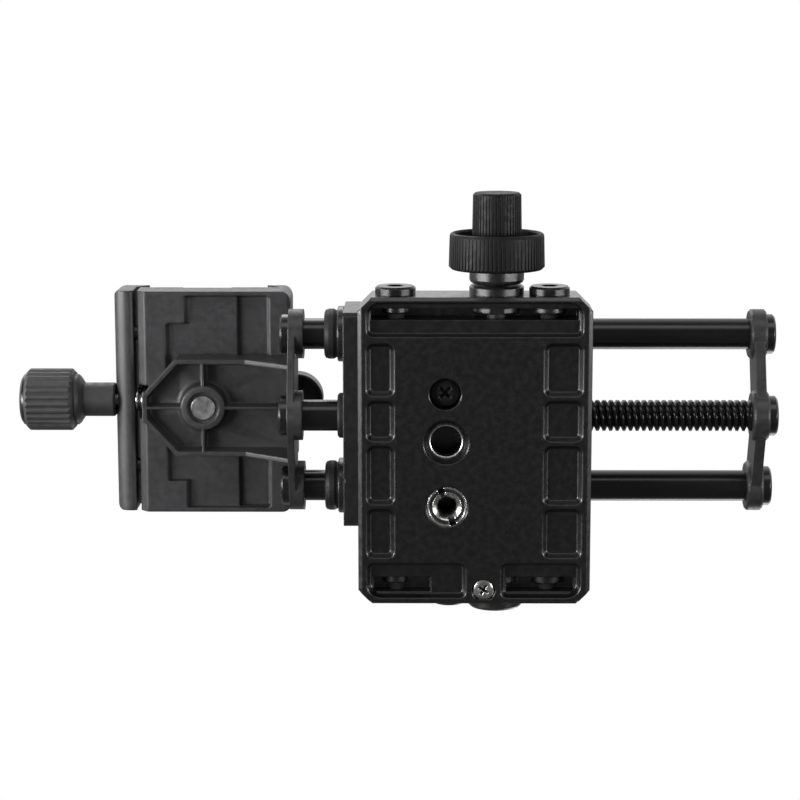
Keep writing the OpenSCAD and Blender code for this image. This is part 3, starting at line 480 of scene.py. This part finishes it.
def spun(rows, count, radius=None):
    """Points and faces of a closed ring profile turned about Z.

    rows are (r, t) points; radius(r, t, angle) may change the radius, as a thread does.
    """
    points, faces = [], []
    for r, t in rows:
        for step in range(count):
            angle = TURN * step / count
            reach = radius(r, t, angle) if radius else r
            points.append((reach * math.cos(angle), reach * math.sin(angle), t))
    total = len(rows)
    for row in range(total):
        after = (row + 1) % total
        for step in range(count):
            ahead = (step + 1) % count
            faces.append((row * count + step, row * count + ahead,
                          after * count + ahead, after * count + step))
    return points, faces


def capped(rows, count, radius=None):
    """As spun, for a solid whose profile starts and ends on the axis."""
    points, faces = spun(rows, count, radius)
    return points, faces[:(len(rows) - 1) * count]


def along(points, axis, at):
    """Turns points made about Z to run along X, Y or Z, and puts them at a point."""
    order = {"X": (2, 0, 1), "Y": (1, 2, 0), "Z": (0, 1, 2)}[axis]
    return [tuple(point[k] + move for k, move in zip(order, at)) for point in points]


def swung(points, angle, at):
    """Turns points about Z by an angle, and moves them."""
    c, s = math.cos(angle), math.sin(angle)
    return [(x * c - y * s + at[0], x * s + y * c + at[1], z + at[2]) for x, y, z in points]


def thread(minor, major, pitch, flat=0.18):
    """radius(t, angle) of a right-hand thread with 60 degree flanks and narrow flats."""
    def radius(t, angle):
        phase = (t / pitch - angle / TURN) % 1.0
        ramp = abs(2 * phase - 1)
        return minor + (major - minor) * min(1.0, max(0.0, (ramp - flat) / (1 - 2 * flat)))
    return radius


def level_rows(low, high, step):
    """Heights from low to high, about a step apart."""
    count = max(1, round((high - low) / step))
    return [low + (high - low) * k / count for k in range(count + 1)]


def paint_shade(piece, material, centre, inside):
    """Gives a second material, as painted shade, to the faces for which inside(radius, z) is true.
    """
    mesh = piece.data
    mesh.materials.append(material)
    for face in mesh.polygons:
        spot = face.center / MM
        if inside(math.hypot(spot.x - centre.x, spot.y - centre.y), spot.z):
            face.material_index = 1


def combine(piece, cutter, operation):
    """Joins the other solid to the piece, or takes it away, for good."""
    tool = piece.modifiers.new("combine", "BOOLEAN")
    tool.operation = operation
    tool.solver = "EXACT"
    tool.object = cutter
    seen = bpy.context.evaluated_depsgraph_get()
    mesh = bpy.data.meshes.new_from_object(piece.evaluated_get(seen))
    piece.modifiers.clear()
    piece.data = mesh
    bpy.data.objects.remove(cutter)


def cut_away(piece, cutter):
    combine(piece, cutter, "DIFFERENCE")


def add_to(piece, other):
    combine(piece, other, "UNION")


def copied(node, name, material):
    """A new piece that starts from a CAD node's shape, as one closed mesh."""
    mesh = NODES[node].data.copy()
    mesh.name = name
    mesh.materials.clear()
    mesh.materials.append(material)
    if mesh.attributes.get("custom_normal"):
        mesh.attributes.remove(mesh.attributes["custom_normal"])
    shade(mesh, 30)
    piece = bpy.data.objects.new(name, mesh)
    bpy.context.scene.collection.objects.link(piece)
    return piece


def insert_piece(steel, shade_material):
    """Steel insert with its 3/8-16 thread and a chamfered mouth."""
    low, high = box_of("thread_insert")
    centre = (low + high) / 2
    outer = (high.x - low.x) / 2
    bore, lip = INSERT_BORE, INSERT_LIP
    groove = thread(bore, bore + 0.46, LARGE_THREAD_PITCH)
    rows = [(outer, low.z), (outer, high.z)]
    heights = level_rows(low.z, low.z + lip, lip / 8)[:-1]
    heights += level_rows(low.z + lip, high.z, LARGE_THREAD_PITCH / 10)
    rows += [(bore, t) for t in reversed(heights)]

    def radius(r, t, angle):
        if r > bore:
            return r
        inside = max(0.0, lip - (t - low.z))
        mouth = bore + lip - math.sqrt(lip ** 2 - inside ** 2)
        thread_in = groove(t, angle) if inside == 0 else bore
        return max(thread_in, mouth, outer - 0.12 - (high.z - t))

    points, faces = spun(rows, 72, radius)
    piece = new_piece("tripod_thread_insert", along(points, "Z", (centre.x, centre.y, 0)),
                      faces, steel)
    # painted shade: the thread deeper than 0.6 mm past the mouth, and the hidden outer wall, get
    # the darker steel
    paint_shade(piece, shade_material, centre,
           lambda r, z: r > bore + lip or low.z + 0.6 < z < high.z - 0.5)
    settle(piece, "carriage", "insert_steel", "thread_insert")


def bush_piece(steel, shade_material):
    """Slotted reducer bush: a bright rim, a recessed ring, a countersink and a 1/4-20 thread."""
    low, high = box_of("reducer_bush")
    centre = (low + high) / 2
    bore, outer = BUSH_BORE, BUSH_OUTER
    inside = thread(bore, bore + 0.34, SMALL_THREAD_PITCH)
    outside = thread(outer - 0.42, outer, LARGE_THREAD_PITCH)
    foot = low.z + 0.7
    rows = [(outer, t) for t in level_rows(foot, high.z, LARGE_THREAD_PITCH / 10)]
    rows += [(bore, t) for t in reversed(level_rows(low.z + 1.5, high.z, SMALL_THREAD_PITCH / 10))]
    # its face, from the countersink out to the rounded rim and the neck behind it
    rows += [(3.45, low.z + 0.42), (3.6, low.z + 0.36), (3.7, low.z + 0.5), (4.5, low.z + 0.5),
             (4.62, low.z + 0.06), (4.8, low.z), (5.02, low.z + 0.02), (5.1, low.z + 0.12),
             (4.78, low.z + 0.55)]

    def radius(r, t, angle):
        if r == outer:
            return outside(t, angle) if t > foot + 0.3 else outer
        if r == bore:
            tail = bore + max(0.0, t - high.z + 0.3)
            return max(inside(t, angle), tail)
        return r

    points, faces = spun(rows, 96, radius)
    at = (centre.x, centre.y, 0)
    piece = new_piece("tripod_reducer_bush", along(points, "Z", at), faces, steel)
    across, deep = BUSH_SLOT
    corners = box_corners(-across, across, -6, 6, low.z - 1, low.z + deep)
    cut_away(piece, new_piece("slot_cutter", swung(corners, BUSH_SLOT_LEAN, at), BOX_FACES, steel))
    # painted shade: deep in the thread, in the recessed ring and on everything behind the face
    paint_shade(piece, shade_material, centre, lambda r, z: (r < 2.7 and z > low.z + 1.5)
           or (3.65 < r < 4.6 and z > low.z + 0.3) or z > low.z + 1.4)
    settle(piece, "carriage", "insert_steel", "reducer_bush")


def box_corners(x0, x1, y0, y1, z0, z1):
    """A box's corners: four below and then four above, in the order that BOX_FACES expects."""
    return [(x, y, z) for z in (z0, z1) for x, y in ((x0, y0), (x1, y0), (x1, y1), (x0, y1))]


def stacked(rings):
    """Points and faces of a solid made of rings of equal count, closed at both ends."""
    count = len(rings[0])
    points = [p for ring in rings for p in ring]
    faces = [tuple(range(count))[::-1],
             tuple((len(rings) - 1) * count + k for k in range(count))]
    for row in range(len(rings) - 1):
        for k in range(count):
            ahead = (k + 1) % count
            faces.append((row * count + k, row * count + ahead,
                          (row + 1) * count + ahead, (row + 1) * count + k))
    return points, faces


def round_ring(x0, x1, y0, y1, corners, inset, z):
    """A rectangle's outline with round corners, moved inwards by inset."""
    ring = []
    places = ((x0, y0, 1, 1, 180), (x1, y0, -1, 1, 270), (x1, y1, -1, -1, 0), (x0, y1, 1, -1, 90))
    for (x, y, sx, sy, start), corner in zip(places, corners):
        for k in range(9):
            turn = math.radians(start + 90 * k / 8)
            reach = corner - inset
            ring.append((x + sx * corner + reach * math.cos(turn),
                         y + sy * corner + reach * math.sin(turn), z))
    return ring


def pocket_tool(x0, x1, y0, y1, depth, draft, corners, fillet, material):
    """A solid that cuts a cast pocket: rounded mouth, sloping walls and a rounded foot.

    The walls move in by draft; corners are the radii of the four corners, from x0 y0 round.
    """
    profile = [(-fillet, -1.0)]
    for k in range(7):
        turn = math.radians(15 * k)
        profile.append((fillet * (math.sin(turn) - 1), fillet * (1 - math.cos(turn)) + STEP))
    for k in range(7):
        turn = math.radians(15 * k)
        profile.append((draft + fillet * (1 - math.cos(turn)),
                        depth - fillet * (1 - math.sin(turn))))
    rings = [round_ring(x0, x1, y0, y1, corners, inset, z) for inset, z in profile]
    return new_piece("pocket_cutter", *stacked(rings), material)


def corner_ring(box, corner, inset, z):
    """A rectangle's outline with its corners cut at 45 degrees, moved inwards by inset."""
    x0, x1, y0, y1 = box[0] + inset, box[1] - inset, box[2] + inset, box[3] - inset
    c = corner - inset * (2 - math.sqrt(2))
    return [(x0 + c, y0, z), (x1 - c, y0, z), (x1, y0 + c, z), (x1, y1 - c, z),
            (x1 - c, y1, z), (x0 + c, y1, z), (x0, y1 - c, z), (x0, y0 + c, z)]


def slot_tool(x0, x1, y, top, bosses, boss_to, material):
    """A box that cuts a deep slot but leaves round stub bosses on its front wall."""
    tool = new_piece("slot_cutter", box_corners(x0, x1, *y, SLOT_FROM, top), BOX_FACES, material)
    for x, z, r in bosses:
        points, faces = capped([(0.0, y[0] - 1), (r, y[0] - 1), (r, boss_to - 0.25),
                                (r - 0.25, boss_to), (0.0, boss_to)], 64)
        cut_away(tool, new_piece("boss", along(points, "Y", (x, 0, z)), faces, material))
    return tool


def base_rim(low, high, material):
    """The bevel round the base's lower edge, flatter than the CAD node's."""
    box = (low.x, high.x, low.y, high.y)
    out, up = BASE_BEVEL
    inner, deep = out + 0.2, 1.4
    rings = [corner_ring(box, BASE_CORNER, inset, z)
             for inset, z in ((0, deep), (0, up), (out, 0), (inner, 0), (inner, deep))]
    points, faces = stacked(rings)
    count = len(rings[0])
    last = (len(rings) - 1) * count
    faces = faces[2:] + [(last + k, last + (k + 1) % count, (k + 1) % count, k)
                         for k in range(count)]
    return new_piece("rim", points, faces, material)


def fill_pockets(piece, low, high, material):
    """Closes the CAD node's pockets, before they are cut again with rounded edges."""
    # X from and to, Y from and to, top, cut off the corners
    rear = (PLAIN_REAR_FROM, high.y - 0.8)
    places = [(-PLAIN_REACH, PLAIN_REACH, low.y + 1, PLAIN_FRONT_TO, 12, 2.6),
              (-PLAIN_REACH, PLAIN_REAR_X[0], *rear, 7, 2.4),
              (PLAIN_REAR_X[1], PLAIN_REACH, *rear, 7, 2.4)]
    places += [(x0 - 0.3, x1 + 0.3, *PLAIN_COLUMN_Y, 2, 0.2) for x0, x1 in COLUMNS_PLAIN]
    for count, (x0, x1, y0, y1, top, corner) in enumerate(places, 1):
        rings = [corner_ring((x0, x1, y0, y1), corner, 0, z) for z in (-STEP * count, top)]
        add_to(piece, new_piece("filler", *stacked(rings), material))


def carriage_piece(material):
    """The cast base with the rounded edges that the casting has round its pockets and rim."""
    piece = copied("carriage_base", "carriage_casting", material)
    low, high = box_of("carriage_base")
    add_to(piece, base_rim(low, high, material))
    fill_pockets(piece, low, high, material)

    # X from and to, Y from and to, depth, draft, corner radii, fillet
    pockets = [(x0, x1, y0, y1, 1.7, 0.55, (1.7,) * 4, 0.45)
               for x0, x1 in COLUMNS for y0, y1 in ROWS]
    left, right = COLUMNS[0][0], COLUMNS[1][1]
    rear = (REAR_FROM, high.y - 1.6, 2.4, 0.5)
    pockets += [
        (left, right, low.y + 1.3, FRONT_TO, 2.6, 0.4, (WIDE, WIDE, TIGHT, TIGHT), 0.3),
        (left, REAR_X[0], *rear, (TIGHT, TIGHT, TIGHT, WIDE), 0.4),
        (REAR_X[1], right, *rear, (TIGHT, TIGHT, WIDE, TIGHT), 0.4)]
    for pocket in pockets:
        cut_away(piece, pocket_tool(*pocket, material))

    bolt_low, bolt_high = box_of("cross_bolts")
    head = (bolt_high.z - bolt_low.z) / 2
    bolt_z = bolt_low.z + head
    shaft = centre_of("pinion_shaft")
    bosses = list(zip((bolt_low.x + head, shaft.x, bolt_high.x - head),
                      (bolt_z, shaft.z, bolt_z), STUB_R))
    rear = (REAR_SLOT_Y, REAR_SLOT_TOP, bosses, REAR_STUB_TO)
    for slot in ((left + 0.9, right - 0.9, FRONT_SLOT_Y, FRONT_SLOT_TOP, bosses, FRONT_STUB_TO),
                 (left + 1.2, REAR_SLOT_X[0], *rear), (REAR_SLOT_X[1], right - 1.2, *rear)):
        cut_away(piece, slot_tool(*slot, material))
    shade_casting(piece.data)
    settle(piece, "carriage", "carriage_casting", "carriage_base")


def shade_casting(mesh):
    """Smooth fillets beside flat faces: an edge between a level face and a curved one is sharp."""
    shade(mesh, 24, CAST_WELD)
    shape = bmesh.new()
    shape.from_mesh(mesh)
    for edge in shape.edges:
        level = [abs(face.normal.z) > 0.9999 for face in edge.link_faces]
        if len(level) == 2 and level[0] != level[1]:
            edge.smooth = False
    shape.to_mesh(mesh)
    shape.free()


def bracket_piece(material):
    """The bracket casting, with the round boss that its bolt sits in."""
    piece = copied("clamp_bracket", "clamp_bracket_casting", material)
    centre = centre_of("clamp_bolt")
    at = (centre.x, centre.y, 0)
    low, high = ARM_BOSS_Z

    def ring(name, rows):
        points, faces = spun(rows, 72)
        return new_piece(name, along(points, "Z", at), faces, material)

    inner, outer = 6.0, ARM_BOSS_PLAIN
    cut_away(piece, ring("plain_boss", [(inner, low - 1), (outer, low - 1),
                                        (outer, high - 2 * STEP), (inner, high - 2 * STEP)]))
    for quarter in range(4):
        rib = [(x, y * half, z) for z, half in zip((low - STEP, high + 0.1), ARM_RIB)
               for x, y in ((5.2, -1), (outer + 0.3, -1), (outer + 0.3, 1), (5.2, 1))]
        turned = swung(rib, quarter * math.pi / 2, at)
        add_to(piece, new_piece("rib", turned, BOX_FACES, material))
    (r_low, r_high), hole, foot = ARM_BOSS_R, ARM_BOSS_HOLE, low - 2 * STEP
    add_to(piece, ring("boss", [
        (hole, foot), (r_low - 0.3, foot), (r_low - 0.09, low + 0.08), (r_low, low + 0.3),
        (r_high - 0.35, high - 0.6), (r_high, high - 0.25), (r_high + 0.8, high + 0.05),
        (hole, high + 0.05)]))
    shade(piece.data, 30, CAST_WELD)
    settle(piece, "rail", "bracket_casting", "clamp_bracket")


def recess_arm(reach, width, deep, turn, at):
    """Points of one tapering bar of a cross recess."""
    bar = [(sx * reach * shrink, sy * width * (0.6 + 0.4 * shrink), z)
           for z, shrink in ((-0.6, 1.12), (deep, 0.45))
           for sx, sy in ((-1, -1), (1, -1), (1, 1), (-1, 1))]
    return swung(bar, turn, at)


def cross_screw(name, node, material, shade_material, slot, turn, crown):
    """A cross-head screw with a domed head, its shank as long as the CAD node's.

    turn is the recess's angle and crown the height of the dome.
    """
    low, high = box_of(node)
    centre = (low + high) / 2
    head = (high.x - low.x) / 2
    shank = head * 0.5
    deep = head * 0.62
    rows = [(0.0, low.z)]
    rows += [(head * 0.9 * k / 6, low.z + crown * (k / 6) ** 2) for k in range(1, 7)]
    rows += [(head * 0.97, low.z + crown + 0.12), (head, low.z + crown + 0.35),
             (head, low.z + deep), (shank, low.z + deep), (shank, high.z), (0.0, high.z)]
    points, faces = capped(rows, 48)
    piece = new_piece(name, along(points, "Z", (centre.x, centre.y, 0)), faces, material, 35)
    for arm in (0, 1):
        bar = recess_arm(head * 0.62, head * 0.13, head * 0.45, turn + arm * math.pi / 2,
                         (centre.x, centre.y, low.z))
        cut_away(piece, new_piece("recess_cutter", bar, BOX_FACES, material))
    # painted shade: the faces inside the cross recess get the nearly black material
    paint_shade(piece, shade_material, centre, lambda r, z: r < head * 0.72 and z > low.z + crown * 0.8)
    settle(piece, "carriage", slot, node)


def rack_piece(material):
    """Rack rod with fine slanting teeth, wound as a shallow two-start helix."""
    low, high = box_of("rack_rod")
    centre = (low + high) / 2
    rod = (high.z - low.z) / 2
    root = rod - 1.0
    bolt_bore, bolt_deep = 2.3, 9.0     # the tapped hole in each end
    crest, slope = 0.20, 0.22           # shares of the pitch
    teeth_from, teeth_to = RACK_TEETH

    def radius(r, t, angle):
        if r < rod or not teeth_from < t < teeth_to:
            return r
        lead = RACK_PITCH * RACK_STARTS
        phase = ((t - KNOB_AXIS_X) / RACK_PITCH - angle * lead / (TURN * RACK_PITCH)) % 1.0
        away = min(phase, 1 - phase)
        share = min(1.0, max(0.0, (away - (0.5 - crest - slope)) / slope))
        ends = min(1.0, (t - teeth_from) / 0.4, (teeth_to - t) / 0.4)
        return rod - (rod - root) * (1 - share) * ends

    rows = [(bolt_bore, low.x), (rod - 0.4, low.x), (rod, low.x + 0.4), (rod, teeth_from)]
    rows += [(rod, t) for t in level_rows(teeth_from + 0.01, teeth_to - 0.01, RACK_PITCH / 10)]
    rows += [(rod, teeth_to), (rod, high.x - 0.4), (rod - 0.4, high.x), (bolt_bore, high.x),
             (bolt_bore, high.x - bolt_deep), (0.02, high.x - bolt_deep - 1),
             (0.02, low.x + bolt_deep + 1), (bolt_bore, low.x + bolt_deep)]
    points, faces = spun(rows, 96, radius)
    piece = new_piece("helical_rack_rod", along(points, "X", (0, centre.y, centre.z)), faces,
                      material, 30)
    settle(piece, "rail", "rod_black", "rack_rod")


def spring_piece(material):
    """Coil spring between the jaw and the clamp body."""
    low, high = box_of("jaw_spring")
    centre = (low + high) / 2
    wire = 0.36
    mean = (high.z - low.z) / 2 - wire
    turns, around, sides = 4.5, 28, 10
    start, end = low.x + wire, high.x - wire
    count = int(turns * around)
    points, faces = [], []
    for k in range(count + 1):
        share = k / count
        angle = turns * TURN * share
        climb = min(1.0, max(0.0, (share - 0.12) / 0.76))      # the end coils lie flat
        x = start + (end - start) * climb
        for side in range(sides):
            turn = TURN * side / sides
            reach = mean + wire * math.cos(turn)
            points.append((x + wire * math.sin(turn), centre.y + reach * math.sin(angle),
                           centre.z + reach * math.cos(angle)))
    for k in range(count):
        for side in range(sides):
            ahead = (side + 1) % sides
            faces.append((k * sides + side, k * sides + ahead,
                          (k + 1) * sides + ahead, (k + 1) * sides + side))
    faces.append(tuple(range(sides))[::-1])
    faces.append(tuple(count * sides + side for side in range(sides)))
    piece = new_piece("jaw_coil_spring", points, faces, material, 60)
    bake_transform(piece)
    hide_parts("jaw_spring")


def clamp_screw_piece(material):
    """Clamp screw with its 1 mm thread, from inside the knob to past the nut."""
    low, high = box_of("clamp_screw")
    centre = (low + high) / 2
    outer = (high.z - low.z) / 2
    cut = thread(outer - 0.5, outer, CLAMP_SCREW_PITCH)
    threaded_from = low.x + 14
    rows = [(0.0, low.x), (outer - 0.3, low.x), (outer - 0.01, low.x + 0.3)]
    rows += [(outer, t) for t in level_rows(threaded_from, high.x - 0.4, CLAMP_SCREW_PITCH / 8)]
    rows += [(outer - 0.5, high.x), (0.0, high.x)]
    points, faces = capped(rows, 48, lambda r, t, angle: cut(t, angle) if r == outer else r)
    piece = new_piece("clamp_drive_screw", along(points, "X", (0, centre.y, centre.z)), faces,
                      material)
    settle(piece, "clamp_knob", "bolt_steel", "clamp_screw")


def vial_pieces(shell, window, fluid, air, mark):
    """Round level: a cup, green fluid, a bubble, a ring mark and a clear dome."""
    low, high = box_of("level_vial")
    centre = (low + high) / 2
    outer = (high.x - low.x) / 2
    at = (centre.x, centre.y, 0)
    top = high.z
    wall = 0.45

    def add(name, rows, material, turned=capped):
        points, faces = turned(rows, 48)
        return settle(new_piece(name, along(points, "Z", at), faces, material), "rail", "vial")

    cup = add("level_cup", [
        (0.0, low.z), (outer, low.z), (outer, top - 0.55), (outer - 0.2, top - 0.4),
        (outer - wall, top - 0.4), (outer - wall, low.z + 0.5), (0.0, low.z + 0.5)], shell)
    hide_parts("level_vial")
    inner = outer - wall - 0.02
    add("level_fluid", [
        (0.0, low.z + 0.52), (inner, low.z + 0.52), (inner, top - 0.75), (inner * 0.6, top - 0.55),
        (0.0, top - 0.48)], fluid)
    add("level_window", [
        (0.0, top - 0.42), (inner * 0.6, top - 0.49), (inner, top - 0.7), (inner, top - 0.35),
        (inner * 0.8, top - 0.14), (inner * 0.5, top - 0.04), (0.0, top)], window)
    add("level_ring_mark", [
        (1.55, top - 0.44), (1.7, top - 0.45), (1.7, top - 0.41), (1.55, top - 0.40)], mark,
        turned=spun)
    bubble = [(1.15 * math.sin(math.pi * k / 12), top - 0.78 - 0.22 * math.cos(math.pi * k / 12))
              for k in range(13)]
    add("level_bubble", bubble, air)


# ---------------------------------------------------------------------------
# The object's finishes
# ---------------------------------------------------------------------------

def clear_material(name, colour, roughness, ior):
    """A clear or tinted material, with faint waviness."""
    material, nodes, links = node_tree(name)
    out = nodes.new("ShaderNodeOutputMaterial")
    skin = nodes.new("ShaderNodeBsdfPrincipled")
    skin.inputs["Base Color"].default_value = (*colour, 1)
    skin.inputs["Transmission Weight"].default_value = 1
    skin.inputs["IOR"].default_value = ior
    where = nodes.new("ShaderNodeTexCoord")
    wave = noise(nodes, links, where.outputs["Object"], 0.4)
    links.new(map_range(nodes, links, wave, 0.3, 0.7, roughness, roughness + 0.05),
              skin.inputs["Roughness"])
    relief = nodes.new("ShaderNodeBump")
    relief.inputs["Strength"].default_value = 0.05
    relief.inputs["Distance"].default_value = 0.01 * MM
    links.new(wave, relief.inputs["Height"])
    links.new(relief.outputs[0], skin.inputs["Normal"])
    links.new(skin.outputs[0], out.inputs["Surface"])
    return material


def paint_nodes(material, *names):
    """Gives CAD nodes a material, also those that a piece stands for."""
    for name in names:
        slots = NODES[name].data.materials
        slots.clear()
        slots.append(material)


def dress():
    """Gives every CAD node its finish, and replaces the plain small parts by detailed ones."""
    grey = (0.10, 0.10, 0.105)
    carriage = finish("carriage_coat", (0.0048, 0.0048, 0.0052), 0.34, edge=0.5, wear=grey,
                      wear_share=0.2, grain=3.0, bump=0.06, mottle=0.12, coat=0.4)
    housing = finish("housing_coat", (0.011, 0.011, 0.0115), 0.38, edge=0.5, wear=grey,
                     wear_share=0.25, grain=3.0, bump=0.25, coat=0.3)
    bracket = finish("bracket_coat", (0.043, 0.043, 0.045), 0.45, edge=0.55, wear=grey,
                     wear_share=0.15, grain=2.2, bump=0.3, coat=0.1)
    clamp = finish("clamp_anodised", (0.049, 0.049, 0.052), 0.42, edge=0.8, wear=grey,
                   wear_share=0.12, grain=3.5, bump=0.2, coat=0.1)
    rods = finish("rod_anodised", (0.010, 0.010, 0.011), 0.22, edge=0.15, wear=grey,
                  wear_share=0.2, grain=6.0, bump=0.06, stretch=(0.04, 1, 1))
    trim = finish("turned_black", (0.02, 0.02, 0.021), 0.3, edge=0.2, wear=grey,
                  wear_share=0.35, grain=5.0, bump=0.12, coat=0.2)
    screws = finish("black_oxide", (0.012, 0.012, 0.012), 0.28, edge=0.2, wear=grey,
                    wear_share=0.3, grain=5.0, bump=0.15, coat=0.3)
    # black oxide; the shank, past Y -32.2 mm inside the casting and its slot, gets painted shade
    cross = finish("black_oxide_bolt", (0.012, 0.012, 0.012), 0.2, edge=0.3, wear=grey,
                   wear_share=0.15, grain=5.0, bump=0.1, dull_and_shaded_past=-32.2)
    knobs = finish("knob_rubber", (0.010, 0.010, 0.0105), 0.5, edge=0.12, wear=grey,
                   wear_share=0.15, grain=6.0, bump=0.4, shine=0.2)
    grip = finish("clamp_knob_plastic", (0.060, 0.060, 0.063), 0.5, edge=0.25, wear=grey,
                  wear_share=0.15, grain=4.0, bump=0.35)
    rubber = finish("seal_rubber", (0.012, 0.012, 0.012), 0.6, edge=0.2, wear=grey,
                    wear_share=0.1, grain=4.0, bump=0.5)
    bright = (0.82, 0.82, 0.8)
    insert_at = centre_of("thread_insert") * MM
    bush_at = centre_of("reducer_bush") * MM
    bolt_at = centre_of("clamp_bolt") * MM
    insert = finish("insert_steel", (0.62, 0.61, 0.59), 0.3, 1.0, edge=0.08, wear=bright,
                    rings=(insert_at, "Z"), bump=0.08)
    bush = finish("bush_steel", (0.62, 0.61, 0.59), 0.26, 1.0, edge=0.12, wear=bright,
                  rings=(bush_at, "Z"), bump=0.08)
    bolt = finish("bolt_steel", (0.50, 0.50, 0.51), 0.32, 1.0, edge=0.2, wear=bright,
                  rings=(bolt_at, "Z"), bump=0.35)
    # darker steel: the fine shaft's own finish, and painted shade on the jaw pins and deep in the
    # insert's and bush's threads
    oiled_and_shade_steel = finish("oiled_steel_and_painted_shade", (0.09, 0.09, 0.095), 0.36, 1.0, edge=0.15, wear=bright,
                   wear_share=0.2, grain=4.0, bump=0.15)
    # nearly black: painted shade, for the cross recesses and for the pinion shaft where it crosses
    # the front slot
    recess = finish("painted_shade_black", (0.006, 0.006, 0.006), 0.6, edge=0.1, wear=grey,
                    wear_share=0.05, grain=4.0, bump=0.4)
    dull = finish("base_screw_black", (0.006, 0.006, 0.006), 0.55, edge=0.3, wear=grey,
                  wear_share=0.05, grain=4.0, bump=0.2, shine=0.3)
    spring = finish("spring_steel", (0.62, 0.62, 0.61), 0.25, 1.0, edge=0.1, wear=bright,
                    grain=4.0, bump=0.1)
    brass = finish("bush_brass", (0.60, 0.44, 0.18), 0.3, 1.0, edge=0.2, wear=(0.8, 0.65, 0.35),
                   grain=4.0, bump=0.15)

    paint_nodes(carriage, "carriage_base")
    paint_nodes(housing, "rod_housing", "bearing_plate")
    paint_nodes(bracket, "clamp_bracket", "end_plate")
    paint_nodes(clamp, "clamp_body", "movable_jaw")
    paint_nodes(rods, "guide_rod_front", "guide_rod_rear", "rack_rod")
    paint_nodes(trim, "seal_flanges", "knob_collar", "rear_cap", "side_plug", "coarse_hub",
                "clamp_knob_cap")
    paint_nodes(screws, "base_screw", "housing_screws", "bracket_rod_bolts", "end_rod_bolts")
    paint_nodes(cross, "cross_bolts")
    paint_nodes(knobs, "coarse_knob", "fine_knob")
    paint_nodes(grip, "clamp_knob", "knob_neck")
    paint_nodes(rubber, "wiper_seals", "rack_seal")
    paint_nodes(insert, "thread_insert")
    paint_nodes(bush, "reducer_bush", "lock_screw")
    paint_nodes(bolt, "clamp_bolt", "clamp_screw")
    # on the jaw pins the darker steel is painted shade, so that they stay in the gap's shade
    paint_nodes(oiled_and_shade_steel, "fine_shaft", "jaw_pins")
    # painted shade: the whole pinion shaft is nearly black, as the slot it crosses is in shade
    paint_nodes(recess, "pinion_shaft")
    paint_nodes(spring, "jaw_spring", "shaft_clip", "reduction_balls")
    paint_nodes(brass, "guide_bushes", "rack_bush", "shaft_bushes", "clamp_nut")
    paint_nodes(trim, "level_vial")

    carriage_piece(carriage)
    bracket_piece(bracket)
    insert_piece(insert, oiled_and_shade_steel)
    bush_piece(bush, oiled_and_shade_steel)
    cross_screw("base_cross_screw", "base_screw", dull, recess, "screw_black",
                math.radians(45), 0.5)
    cross_screw("edge_cross_screw", "lock_screw", bush, recess, "insert_steel",
                math.radians(30), 0.35)
    rack_piece(rods)
    spring_piece(spring)
    clamp_screw_piece(bolt)
    vial_pieces(trim, clear_material("level_glass", (0.95, 0.97, 0.95), 0.03, 1.49),
                clear_material("level_green", (0.55, 0.85, 0.12), 0.05, 1.36),
                clear_material("level_air", (1.0, 1.0, 1.0), 0.02, 1.1), screws)


place_camera()
studio()
floor()
dress()
